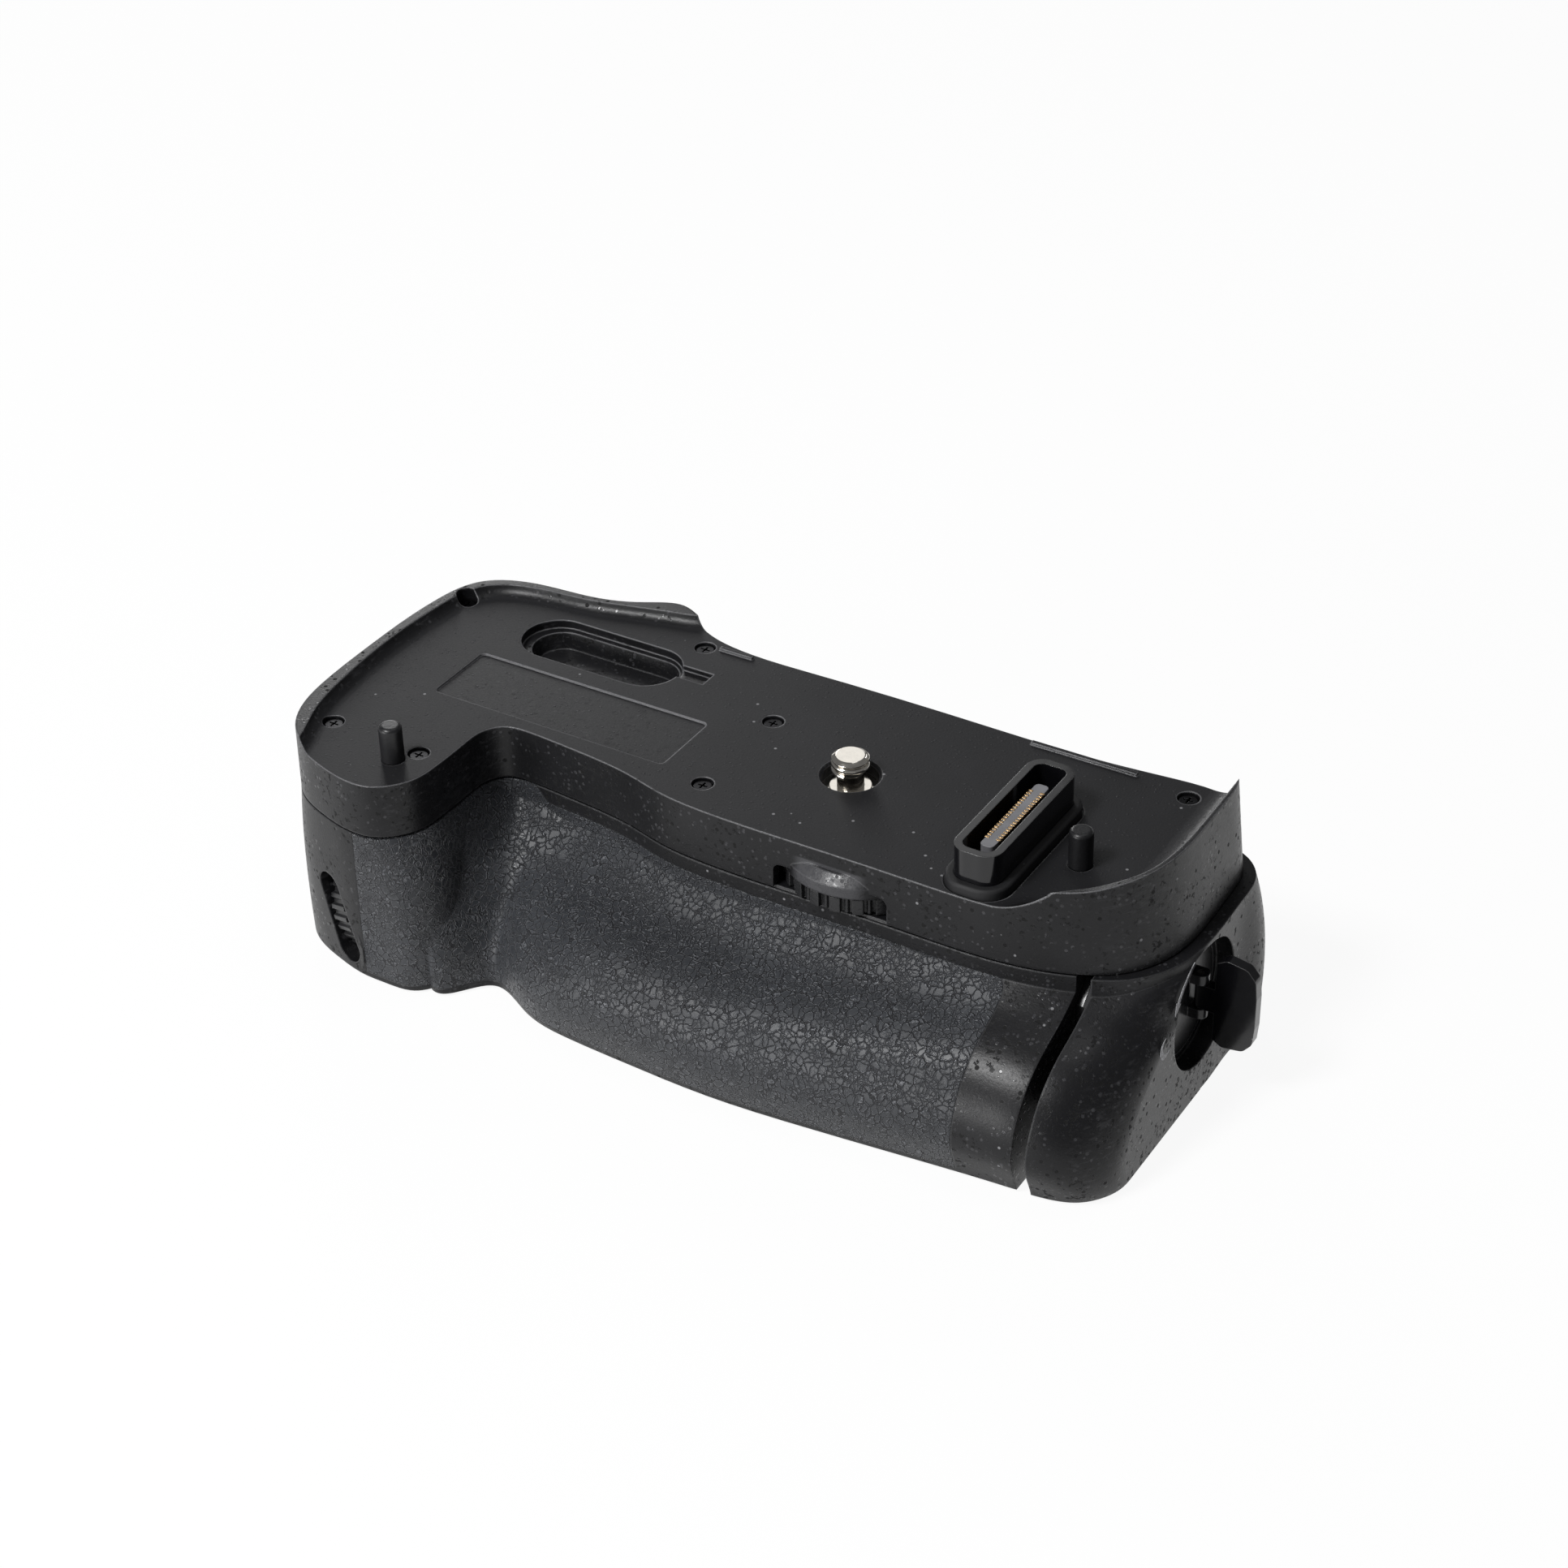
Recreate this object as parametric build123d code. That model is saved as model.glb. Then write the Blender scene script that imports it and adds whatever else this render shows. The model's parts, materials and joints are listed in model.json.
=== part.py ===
from build123d import *
import os
from math import asin, atan2, cos, degrees, hypot, pi, radians, sin, sqrt, tan

# Camera battery grip. It bolts under a camera body: the flat plate and the
# screw meet the camera's base, the tray end is at +X, the hand grip at -Y.
# The origin is on the screw's axis, level with the plate. Lengths are in mm.

os.makedirs("parts", exist_ok=True)

# Overall size
body_length = 150.9
seam_drop = 9.7
base_drop = 38.8
overrun = 30.0
fit_gap = 0.25
running_gap = 0.05
press_gap = 0.02
seat_gap = 0.1
same_place = 0.001

# Plan of the body at the seam, as shares of length and depth
front_shares = [
    (-0.594, -0.065), (-0.592, -0.323), (-0.5805, -0.481), (-0.5553, -0.578),
    (-0.503, -0.645), (-0.4606, -0.670), (-0.432, -0.664), (-0.4095, -0.625),
    (-0.3963, -0.5735), (-0.3916, -0.4895), (-0.391, -0.376), (-0.388, -0.300),
    (-0.3744, -0.257), (-0.347, -0.2455), (-0.3147, -0.2504), (-0.253, -0.265),
    (-0.206, -0.2843), (-0.157, -0.3166), (-0.113, -0.331), (0.013, -0.336),
    (0.146, -0.336), (0.252, -0.330), (0.315, -0.297), (0.370, -0.220),
    (0.398, -0.105), (0.4056, 0.048),
]
rear_shares = [
    (0.4036, 0.210), (0.395, 0.328), (0.368, 0.388), (0.305, 0.397),
    (0.239, 0.381), (0.066, 0.378), (-0.133, 0.378), (-0.239, 0.385),
    (-0.288, 0.420), (-0.335, 0.470), (-0.381, 0.424), (-0.437, 0.383),
    (-0.517, 0.363), (-0.567, 0.301), (-0.589, 0.145),
]
# How far each point of the plan swells outwards lower down
front_swell_shares = [
    0.0, 0.3, 0.5, 0.3, 0.1, 0.1, 0.4, 1.8, 2.0, 1.6, 0.9, 0.3, 0.0,
    0.0, 0.0, 0.0, 0.0, 0.0, 0.0, 0.0, 0.0, 0.0, 0.0, 0.0, 0.0, 0.0,
]
rear_swell_shares = [
    0.2, 1.1, 1.9, 1.7, 1.7, 1.8, 1.8, 2.0, 2.0, 1.7, 2.0, 1.9, 1.4, 0.5, 0.1,
]
swell = 2.2
swell_level_shares = [(0.0, 0.0), (0.22, 0.6), (0.55, 1.0), (1.0, 0.8)]

# Lip round the camera's right end: foot line, crest line and the left rim's line
right_reach_share = 0.4056
lip_shares = [
    (0.262, -0.549), (0.265, -0.433), (0.274, -0.370), (0.286, -0.335),
    (0.307, -0.295), (0.341, -0.236), (0.371, -0.1616), (0.3837, -0.0646),
    (0.387, 0.097), (0.3857, 0.2585), (0.3857, 0.549),
]
crest_shares = [
    (0.199, 0.257), (0.252, 0.371), (0.2717, 0.514), (0.303, 0.671),
    (0.3327, 0.743), (0.3638, 0.9), (0.389, 0.986), (0.424, 1.0),
]
rim_shares = [
    (-0.517, -0.969), (-0.5335, -0.727), (-0.5467, -0.5816), (-0.5646, -0.4685),
    (-0.5765, -0.323), (-0.583, -0.0646), (-0.578, 0.129), (-0.5586, 0.2827),
    (-0.517, 0.339), (-0.4374, 0.365), (-0.381, 0.3974), (-0.338, 0.4233),
    (-0.305, 0.4443), (-0.2916, 0.646),
]

# Upper housing
plate_thickness = 2.4
wall = 1.8
lip_rise = 7.0
rim_rise = 1.8
side_draft = 0.8
side_rise = 0.5
end_draft = 6.6
end_sharpness = 8
lip_cove = 6.2
rim_cove = 2.6
groove_width = 0.4
groove_depth = 0.6

# Hand grip sections: place along the length, wall, belly and profile
turn_profile_shares = [
    (-0.20, 0.03), (0.0, 0.07), (0.30, 0.12), (0.62, 0.21), (0.86, 0.34),
    (0.97, 0.52), (1.0, 0.76), (0.99, 1.0),
]
flank_profile_shares = [
    (-0.20, 0.05), (0.04, 0.11), (0.18, 0.18), (0.42, 0.26), (0.70, 0.37),
    (0.90, 0.51), (0.99, 0.70), (1.0, 0.86), (0.98, 1.0),
]
wrist_profile_shares = [
    (-0.20, 0.06), (0.03, 0.15), (0.12, 0.23), (0.25, 0.30), (0.42, 0.37),
    (0.62, 0.46), (0.84, 0.60), (0.97, 0.78), (0.99, 1.0),
]
notch_profile_shares = [
    (-0.20, 0.06), (0.03, 0.15), (0.10, 0.23), (0.22, 0.30), (0.36, 0.37),
    (0.52, 0.46), (0.72, 0.60), (0.90, 0.77), (0.98, 1.0),
]
finger_profile_shares = [
    (-0.20, 0.07), (0.03, 0.20), (0.10, 0.26), (0.24, 0.33), (0.44, 0.40),
    (0.71, 0.48), (0.91, 0.63), (1.0, 0.80), (0.96, 1.0),
]
palm_profile_shares = [
    (-0.20, 0.07), (0.03, 0.185), (0.09, 0.24), (0.22, 0.305), (0.45, 0.37),
    (0.76, 0.45), (0.95, 0.60), (1.0, 0.78), (0.94, 1.0),
]
heel_profile_shares = [
    (-0.20, 0.04), (0.05, 0.125), (0.15, 0.175), (0.36, 0.24), (0.58, 0.305),
    (0.78, 0.41), (0.93, 0.57), (0.99, 0.75), (0.88, 1.0),
]
end_profile_shares = [
    (-0.20, 0.04), (0.05, 0.10), (0.12, 0.18), (0.25, 0.28), (0.52, 0.39),
    (0.76, 0.54), (0.93, 0.69), (1.0, 0.84), (0.92, 1.0),
]
grip_sections = [
    (-0.408, -0.500, -0.560, turn_profile_shares),
    (-0.397, -0.420, -0.585, turn_profile_shares),
    (-0.386, -0.330, -0.630, turn_profile_shares),
    (-0.375, -0.264, -0.648, flank_profile_shares),
    (-0.361, -0.250, -0.634, wrist_profile_shares),
    (-0.344, -0.247, -0.584, notch_profile_shares),
    (-0.326, -0.249, -0.547, notch_profile_shares),
    (-0.298, -0.255, -0.565, finger_profile_shares),
    (-0.256, -0.265, -0.622, finger_profile_shares),
    (-0.186, -0.298, -0.653, palm_profile_shares),
    (0.0, -0.340, -0.666, palm_profile_shares),
    (0.252, -0.330, -0.627, heel_profile_shares),
    (0.345, -0.262, -0.612, heel_profile_shares),
    (0.4056, -0.215, -0.592, end_profile_shares),
]
grip_column_shares = [
    -0.408, -0.397, -0.386, -0.375, -0.364, -0.353, -0.341, -0.326, -0.306,
    -0.280, -0.246, -0.205, -0.155, -0.10, -0.03, 0.05, 0.13, 0.20, 0.26, 0.31,
]
corner_turns = [0, 20, 40, 58, 74, 90]
grip_depth = 32.0
grip_rows = 14
grip_smoothing = 0.2
cap_corner = 9.5

# Rubber skins
rubber_thickness = 1.2
rubber_left = -69.2
rubber_right = 39.5
rubber_step_left = -51.2
rubber_step_right = -48.8
strip_height = 3.0
rubber_corner = 2.2
rubber_foot = 1.0
thumb_left = -63.0
thumb_right = -38.5
thumb_top = -13.5
thumb_foot = -35.5
thumb_corner = 4.0

# Battery chamber
cell_middle = 2.65
cell_room = 0.55
chamber_top = -12.2
chamber_floor = -37.6
chamber_end = -47.0
chamber_step = -11.0
chamber_slope_y = -14.2
chamber_slope_z = -15.6
nose_rear = 16.0
nose_front = -11.3
nose_shoulder_top = -16.3
nose_shoulder = -22.0

# Tray
cap_plane = 49.5
cap_gap = 0.25
tray_out = 2.15
cap_wall = 2.2
skirt_in = 0.5
skirt_top = -20.5
skirt_step = 2.0
skirt_slope = 4.5
tray_wall = 1.2
tray_gap = 0.4
tray_floor = 0.9
tray_nose = -45.3
tray_rail = 3.2
seal_thickness = 1.0
cell_length = 56.0
cell_width = 39.4
cell_surround = 22.5
cell_height = 20.2
cell_corner = 3.0
cell_right = 46.6

# Latch in the cap's face
latch_y = -0.3
latch_z = -21.6
dish_radius = 10.9
dish_depth = 3.2
barrel_radius = 9.6
barrel_height = 1.6
barrel_shaft = 2.6
lug_length = 2.6
lug_width = 1.8
lug_height = 2.4
hinge_lift = 1.45
hinge_side = 2.1
wing_reach = 9.7
wing_thickness = 1.9
wing_height = 16.8
wing_neck = 4.6
wing_corner = 1.5
wing_shares = [
    (0.28, 0.27), (0.29, 0.88), (0.46, 1.0), (0.82, 0.93), (0.97, 0.72),
]
pin_radius = 0.6
wing_pin_reach = 4.0
arm_square = 1.4
bolt_width = 4.0
bolt_thickness = 1.4
bolt_seat = 3.4
bolt_play = 0.3
keeper_depth = 1.6
keeper_left = 52.4
keeper_right = 57.3

# Mounting screw and its wheel
thread_radius = 3.175
screw_top = 3.8
screw_tip_radius = 2.3
screw_nose = 0.8
neck_radius = 2.45
neck_height = 1.2
collar_radius = 3.4
flange_radius = 5.3
flange_height = 0.5
collar_sink = 0.2
screw_hole_radius = 4.65
screw_hole_chamfer = 0.5
gear_module = 0.5
screw_teeth = 17
wheel_teeth = 33
gear_height = 2.5
pressure_angle = 20.0
tooth_share = 0.46
wheel_x = 8.2
wheel_wall_share = 0.336
wheel_proud = 1.635
wheel_top = -6.6
wheel_bottom = -9.4
wheel_ribs = 22
wheel_rib_depth = 0.8
wheel_tooth = 1.7
wheel_axle_radius = 1.5
axle_seat_depth = 1.5
slot_left = -2.0
slot_right = 18.4
slot_top = -5.2
slot_corner = 1.4
slot_depth = 6.5
hood_top = -3.0
hood_drop = 6.3
hood_slope = 1.4
hood_wall = 1.7
hood_clear = 0.3
hood_start = 8.0
pivot_radius = 1.3
bracket_thickness = 0.5
bracket_reach = 8.0
bracket_post_radius = 1.6
bracket_screw_radius = 0.6
bracket_head_radius = 1.2
bracket_head_height = 0.6
bracket_rim = 2.4

# Plate details
case_screw_places = [
    (-81.9, -28.3), (-85.4, 14.0), (-64.0, -29.0), (-41.0, 21.4),
    (-18.9, 7.3), (-19.2, -13.8), (49.6, 20.4),
]
counterbore_radius = 1.85
counterbore_depth = 1.3
head_radius = 1.7
head_height = 0.9
shank_radius = 0.95
shank_reach = 1.9
boss_radius = 2.6
locating_pin_places = [(-66.6, -32.4), (43.0, -4.1)]
locating_pin_radius = 1.925
locating_pin_root = 1.6
locating_pin_height = 6.5
locating_pin_seat = 5.0
locating_pin_nose = 0.7
locating_pin_room = 1.4
locating_pin_chamfer = 0.45
ear_left = 46.4
ear_right = 52.0
ear_front = 17.6
ear_rear = 22.2
ear_rise = 4.2
ear_screw_reach = 6.0
label_left = -73.1
label_right = -27.8
label_front = -12.4
label_rear = 1.5
label_depth = 0.3
label_corner = 1.0
store_left = -70.8
store_right = -40.3
store_front = 5.3
store_rear = 17.7
store_depth = 4.4
store_ledge = 1.3
store_ledge_depth = 1.6
store_ramp = 18.0
store_tab = 5.2
store_tab_front = 11.2
store_tab_rear = 14.8
store_tab_depth = 1.0
rear_rib_height = 0.45
rear_rib_width = 0.8
rear_rib_spans = [(-38.4, -32.0), (20.9, 39.8)]
rear_rib_y_share = 0.3651

# Camera connector
shroud_x = 31.85
shroud_y = -4.55
shroud_width = 8.1
shroud_length = 28.5
shroud_wall = 1.3
shroud_rise = 7.1
seal_width = 11.0
seal_length = 31.2
seal_rise = 1.7
seal_sink = 0.4
tongue_width = 2.3
tongue_length = 19.0
tongue_rise = 5.6
contact_count = 20
contact_width = 0.34
contact_proud = 0.18
shroud_foot = 1.4
shroud_corner = 2.9
contact_low = -2.0

# Dials
front_dial_x = -74.6
front_dial_y_share = -0.6381
front_dial_z = -29.6
front_dial_turn = 20.0
front_dial_lean = 20.0
front_dial_radius = 9.4
front_dial_width = 4.2
front_dial_proud = 0.9
front_slot_width = 5.6
front_slot_length = 16.6
dial_teeth = 30
dial_tooth_depth = 0.55
dial_tooth_shares = [(0.0, 0.0), (0.36, 0.0), (0.5, 1.0), (0.86, 1.0)]
dial_clear = 0.4
surround_rim = 2.6
surround_rise = 0.5
dial_axle_radius = 1.0
dial_cheek = 2.2
rear_dial_x = -76.5
rear_dial_y_share = 0.4103
rear_dial_z = -24.5
rear_dial_radius = 9.0
rear_dial_width = 5.0
rear_dial_proud = 1.3
rear_slot_length = 15.0

# Buttons on the left end
shutter_x = -89.4
shutter_y_share = -0.1454
shutter_z = -25.5
shutter_radius = 5.2
shutter_travel = 1.3
shutter_proud = 2.6
ring_radius = 8.6
ring_proud = 2.0
ring_tab = 3.0
ring_tab_width = 3.4
ring_tab_height = 1.4
collar_outer = 6.1
collar_seat = 1.5
collar_rise = 1.4
button_body = 3.2
end_turn = 75.0
ring_bed = 2.6
button_stem = 1.5
button_stem_length = 5.0
switch_size = 4.6
switch_height = 3.0
function_x = -89.3
function_y_share = 0.105
function_z = -15.5
function_radius = 2.8
function_proud = 0.9
function_travel = 0.8

# Controls on the rear
focus_x = -70.0
focus_y_share = 0.4136
focus_z = -15.4
focus_radius = 3.6
focus_proud = 1.2
focus_travel = 0.8
pad_x = -29.5
pad_y_share = 0.4233
pad_z = -20.0
pad_radius = 4.6
pad_proud = 2.3
pad_rim = 2.4
bezel_clear = 1.3
pad_head = 2.2
bezel_rise = 0.3
pad_travel = 0.5
pad_bed = 2.6
stick_radius = 1.3
gimbal_radius = 3.4
gimbal_width = 2.0
gimbal_wall = 1.1
trunnion_seat = 1.4
trunnion_radius = 0.6

# Base
tripod_y_share = -0.4362
tripod_radius = 2.6
tripod_depth = 6.0
tripod_bush_radius = 5.2
tripod_flange_radius = 7.0
tripod_flange = 0.8
tripod_roof = 1.4

# Inside
board_thickness = 1.0
board_level = -8.2
board_left = -36.0
board_right = 44.0
board_front = -8.5
board_rear = 19.5
component_height = 1.2
blade_width = 2.0
blade_thickness = 0.5
blade_spring = 1.6
blade_count = 4
contact_block_depth = 3.0
contact_front = -14.0
contact_rear = 10.0
contact_foot = -33.0
contact_top = -25.0
board_clear = 1.0
pad_radius_board = 2.0
pad_front = -4.0
chip_shares = [(0.12, 0.7, 6.0), (0.62, 0.7, 8.0), (0.95, 0.75, 5.0)]


# Sizes and places that follow from the ones above
half_turn = 180
nearly_share = 0.999
body_depth = cell_width + cell_surround
chamber_front = cell_middle - cell_width / 2 - cell_room
chamber_rear = cell_middle + cell_width / 2 + cell_room
front_dial_y = front_dial_y_share * body_depth
rear_dial_y = rear_dial_y_share * body_depth
shutter_y = shutter_y_share * body_depth
function_y = function_y_share * body_depth
focus_y = focus_y_share * body_depth
pad_y = pad_y_share * body_depth
tripod_y = tripod_y_share * body_depth
rear_rib_y = rear_rib_y_share * body_depth
skirt_y = chamber_rear - skirt_in
wheel_y = -sqrt((gear_module * (screw_teeth + wheel_teeth) / 2) ** 2 - wheel_x ** 2)
wheel_radius = wheel_wall_share * body_depth + wheel_y + wheel_proud
wheel_step = 2 * half_turn / wheel_ribs
hood_radius = wheel_radius + hood_clear
axle_top = -plate_thickness - running_gap - flange_height - seat_gap
axle_foot = -seam_drop - axle_seat_depth
bracket_top = -plate_thickness - running_gap - flange_height - gear_height - seat_gap
bracket_bottom = bracket_top - bracket_thickness
bracket_posts = [(-bracket_reach, -bracket_reach / 3), (-bracket_reach / 3, bracket_reach)]
store_mid_x = (store_left + store_right) / 2
store_mid_y = (store_front + store_rear) / 2
store_length = store_right - store_left
store_width = store_rear - store_front
dish_floor = right_reach_share * body_length - dish_depth
barrel_floor = dish_floor - barrel_height
hinge_x = dish_floor + hinge_lift
hinge_y = latch_y + hinge_side
arm_left = cap_plane + bolt_seat
arm_reach = -seam_drop + keeper_depth - latch_z
keeper_reach = sqrt(arm_reach ** 2 - (-seam_drop - latch_z) ** 2) + bolt_width / 2
cell_floor = chamber_floor + tray_gap + tray_floor
skirt_end = right_reach_share * body_length - cap_gap
tripod_top = -base_drop + tripod_depth + tripod_roof
seam_clear = seat_gap / 2
pad_deep = pad_bed + gimbal_width + 4 * fit_gap
gimbal_level = -pad_bed - gimbal_width / 2 - fit_gap


def facing(x, y, z, turn, lean):
    outward = (-sin(radians(turn)), -cos(radians(turn)), 0)
    along = (cos(radians(turn)), -sin(radians(turn)), 0)
    axis = (along[0] * cos(radians(lean)), along[1] * cos(radians(lean)), sin(radians(lean)))
    return Plane(origin=(x, y, z), x_dir=axis, z_dir=outward)


front_dial_plane = facing(front_dial_x, front_dial_y, front_dial_z, front_dial_turn, front_dial_lean)
rear_dial_plane = facing(rear_dial_x, rear_dial_y, rear_dial_z, half_turn, 0)
shutter_plane = facing(shutter_x, shutter_y, shutter_z, end_turn, 0)
function_plane = facing(function_x, function_y, function_z, half_turn / 2, 0)
focus_plane = facing(focus_x, focus_y, focus_z, half_turn, 0)
pad_plane = facing(pad_x, pad_y, pad_z, half_turn, 0)


# Shared forms
def block(x0, x1, y0, y1, z0, z1):
    middle = Pos((x0 + x1) / 2, (y0 + y1) / 2, (z0 + z1) / 2)
    return middle * Box(x1 - x0, y1 - y0, z1 - z0)


def post(x, y, radius, z0, z1):
    return Pos(x, y, (z0 + z1) / 2) * Cylinder(radius, z1 - z0)


def rod_x(y, z, radius, x0, x1):
    return Pos((x0 + x1) / 2, y, z) * Rot(0, 90, 0) * Cylinder(radius, x1 - x0)


def scaled(shares):
    return [(x * body_length, y * body_depth) for x, y in shares]


def steps(points):
    sums = [0]
    for a, b in zip(points[:-1], points[1:]):
        sums.append(sums[-1] + hypot(b[0] - a[0], b[1] - a[1]))
    return [s / sums[-1] for s in sums]


def moved_in(points, insets):
    moved = []
    count = len(points)
    for i in range(count):
        before = points[i - 1]
        after = points[(i + 1) % count]
        run_x = after[0] - before[0]
        run_y = after[1] - before[1]
        size = hypot(run_x, run_y)
        x = points[i][0] - run_y / size * insets[i]
        y = points[i][1] + run_x / size * insets[i]
        moved.append((x, y))
    return moved


seam_points = scaled(front_shares) + scaled(rear_shares)
front_count = len(front_shares)
right_reach = seam_points[front_count - 1][0]
left_reach = seam_points[0][0]
front_steps = steps(seam_points[:front_count])
rear_steps = steps(seam_points[front_count - 1:] + seam_points[:1])


def way(points):
    return sum(hypot(b[0] - a[0], b[1] - a[1]) for a, b in zip(points[:-1], points[1:]))


def outline(points, height):
    places = [Vector(x, y, height) for x, y in points]
    ahead = way(points[:front_count])
    behind = way(points[front_count - 1:] + points[:1])
    front = Edge.make_spline(
        places[:front_count], tangents=[(0, -ahead, 0), (0, ahead, 0)],
        parameters=front_steps, scale=False
    )
    rear = Edge.make_spline(
        places[front_count - 1:] + places[:1], tangents=[(0, behind, 0), (0, -behind, 0)],
        parameters=rear_steps, scale=False
    )
    return Wire([front, rear])


def prism(points, z0, z1):
    return Solid.make_loft([outline(points, z0), outline(points, z1)], ruled=True)


def seam_inset(inset):
    return moved_in(seam_points, [inset] * len(seam_points))


def slab_y(points, y0, y1):
    corners = [Vector(x, y0, z) for x, z in points]
    return Solid.extrude(Face(Wire.make_polygon(corners)), Vector(0, y1 - y0, 0))


def slab_x(points, x0, x1):
    corners = [Vector(x0, y, z) for y, z in points]
    return Solid.extrude(Face(Wire.make_polygon(corners)), Vector(x1 - x0, 0, 0))


def slot_prism(length, width, z0, z1):
    return Pos(0, 0, z0) * extrude(SlotOverall(length, width), z1 - z0)


def level_edges(shape, z):
    low = z - same_place
    high = z + same_place
    return [e for e in shape.edges() if low < (e @ 0).Z < high and low < (e @ 1).Z < high]


def along_edges(shape, axis):
    return [e for e in shape.edges() if abs((e % 0).dot(Vector(*axis))) > nearly_share
            and e.geom_type == GeomType.LINE]


def ring(outer, inner, z0, z1):
    return post(0, 0, outer, z0, z1) - post(0, 0, inner, z0, z1)


def smooth(stations, values, at):
    slopes = []
    for i in range(len(stations)):
        low = max(i - 1, 0)
        high = min(i + 1, len(stations) - 1)
        slopes.append((values[high] - values[low]) / (stations[high] - stations[low]))
    i = 0
    while i < len(stations) - 2 and at > stations[i + 1]:
        i += 1
    run = stations[i + 1] - stations[i]
    t = (at - stations[i]) / run
    start = values[i] * (1 + 2 * t) * (1 - t) ** 2 + slopes[i] * run * t * (1 - t) ** 2
    end = values[i + 1] * t * t * (3 - 2 * t) + slopes[i + 1] * run * t * t * (t - 1)
    return start + end


# Body below the seam: its own plan swells a little, and a rounded hand grip
# with a shelf for the fingers stands out in front of the wall
def core(inset):
    shares = front_swell_shares + rear_swell_shares
    height = base_drop - seam_drop
    wires = []
    for drop_share, swell_share in swell_level_shares:
        insets = [inset - swell * s * swell_share for s in shares]
        level = -seam_drop - drop_share * height
        wires.append(outline(moved_in(seam_points, insets), level))
    return Solid.make_loft(wires)


def grip_point(x_share, profile_share):
    stations = [section[0] for section in grip_sections]
    root = smooth(stations, [section[1] for section in grip_sections], x_share)
    belly = smooth(stations, [section[2] for section in grip_sections], x_share)
    outs = []
    drops = []
    for section in grip_sections:
        profile = section[3]
        marks = steps(profile)
        outs.append(smooth(marks, [out for out, drop in profile], profile_share))
        drops.append(smooth(marks, [drop for out, drop in profile], profile_share))
    out = smooth(stations, outs, x_share)
    drop = smooth(stations, drops, x_share)
    return (root + out * (belly - root)) * body_depth, drop * (base_drop - seam_drop)


def grip_row(x, x_share, back, inset):
    row = []
    for j in range(grip_rows + 1):
        y, drop = grip_point(x_share, j / grip_rows)
        level = -seam_drop - drop
        if 0 < j < grip_rows:
            level -= inset
        row.append(Vector(x, y + back + inset, level))
    return row


def grip(inset):
    rows = []
    for x_share in grip_column_shares:
        rows.append(grip_row(x_share * body_length, x_share, 0, inset))
    turn_x = right_reach - cap_corner
    radius = cap_corner - inset
    for turn in corner_turns:
        x = turn_x + radius * sin(radians(turn))
        back = radius * (1 - cos(radians(turn)))
        rows.append(grip_row(x, x / body_length, back, inset))
    skin = Face.make_surface_from_array_of_points(rows, tol=grip_smoothing, min_deg=3)
    ahead = block(left_reach - overrun, right_reach + overrun, -body_depth - overrun, 0,
                  -base_drop - overrun, 0)
    return Solid.extrude(skin, Vector(0, grip_depth, 0)) & ahead


def body(inset):
    whole = core(inset) + grip(inset)
    below = block(left_reach - overrun, right_reach + overrun, -body_depth - overrun,
                  body_depth + overrun, -base_drop, -seam_drop)
    return whole & below


outer_body = body(0)
inner_body = body(rubber_thickness)


# Top shell
def camera_seat():
    edge = Edge.make_spline([Vector(x, y, 0) for x, y in scaled(lip_shares)])
    far = left_reach - overrun
    front = edge @ 0
    left_way = Polyline((*edge @ 1,), (far, (edge @ 1).Y, 0), (far, -body_depth, 0),
                        (front.X, -body_depth, 0), (*front,))
    seat = Solid.extrude(Face(Wire([edge] + left_way.edges())), Vector(0, 0, overrun))
    foot = [e for e in level_edges(seat, 0) if e.geom_type == GeomType.BSPLINE]
    seat = seat.fillet(lip_cove, foot)
    rim = Edge.make_spline([Vector(x, y, 0) for x, y in scaled(rim_shares)])
    far = right_reach + overrun
    right_way = Polyline((*rim @ 1,), (far, (rim @ 1).Y, 0), (far, (rim @ 0).Y, 0), (*rim @ 0,))
    floor = Solid.extrude(Face(Wire([rim] + right_way.edges())), Vector(0, 0, overrun))
    foot = [e for e in level_edges(floor, 0) if e.geom_type == GeomType.BSPLINE]
    floor = floor.fillet(rim_cove, foot)
    return seat & floor


def above_crest():
    crest = [(x * body_length, z * lip_rise) for x, z in crest_shares]
    far = body_depth + overrun
    line = Edge.make_spline([Vector(x, -far, z) for x, z in crest])
    start = line @ 0
    end = line @ 1
    rest = Polyline(
        (*end,), (end.X, -far, end.Z + overrun), (left_reach - overrun, -far, end.Z + overrun),
        (left_reach - overrun, -far, rim_rise), (start.X, -far, rim_rise), (*start,)
    )
    return Solid.extrude(Face(Wire([line] + rest.edges())), Vector(0, far + far, 0))


def upper_blank():
    rise = lip_rise + rim_rise
    height = rise + seam_drop
    insets = []
    for x, y in seam_points:
        lean = side_draft + (end_draft - side_draft) * max(0, x / right_reach) ** end_sharpness
        insets.append(height * tan(radians(lean)))
    top = outline(moved_in(seam_points, insets), rise)
    return Solid.make_loft([outline(seam_points, -seam_drop), top], ruled=True)


def tray_polygon(clear):
    return [
        (chamber_slope_y + clear / 2, chamber_top - clear),
        (chamber_rear - clear, chamber_top - clear),
        (chamber_rear - clear, chamber_floor + clear),
        (chamber_front + clear, chamber_floor + clear),
        (chamber_front + clear, chamber_slope_z - clear / 2),
    ]


def nose_polygon(clear):
    return [
        (nose_front + clear, chamber_top - clear),
        (nose_rear - clear, chamber_top - clear),
        (nose_rear - clear, chamber_floor + clear),
        (chamber_front + clear, chamber_floor + clear),
        (chamber_front + clear, nose_shoulder - clear / 2),
        (nose_front + clear, nose_shoulder_top - clear / 2),
    ]


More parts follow.
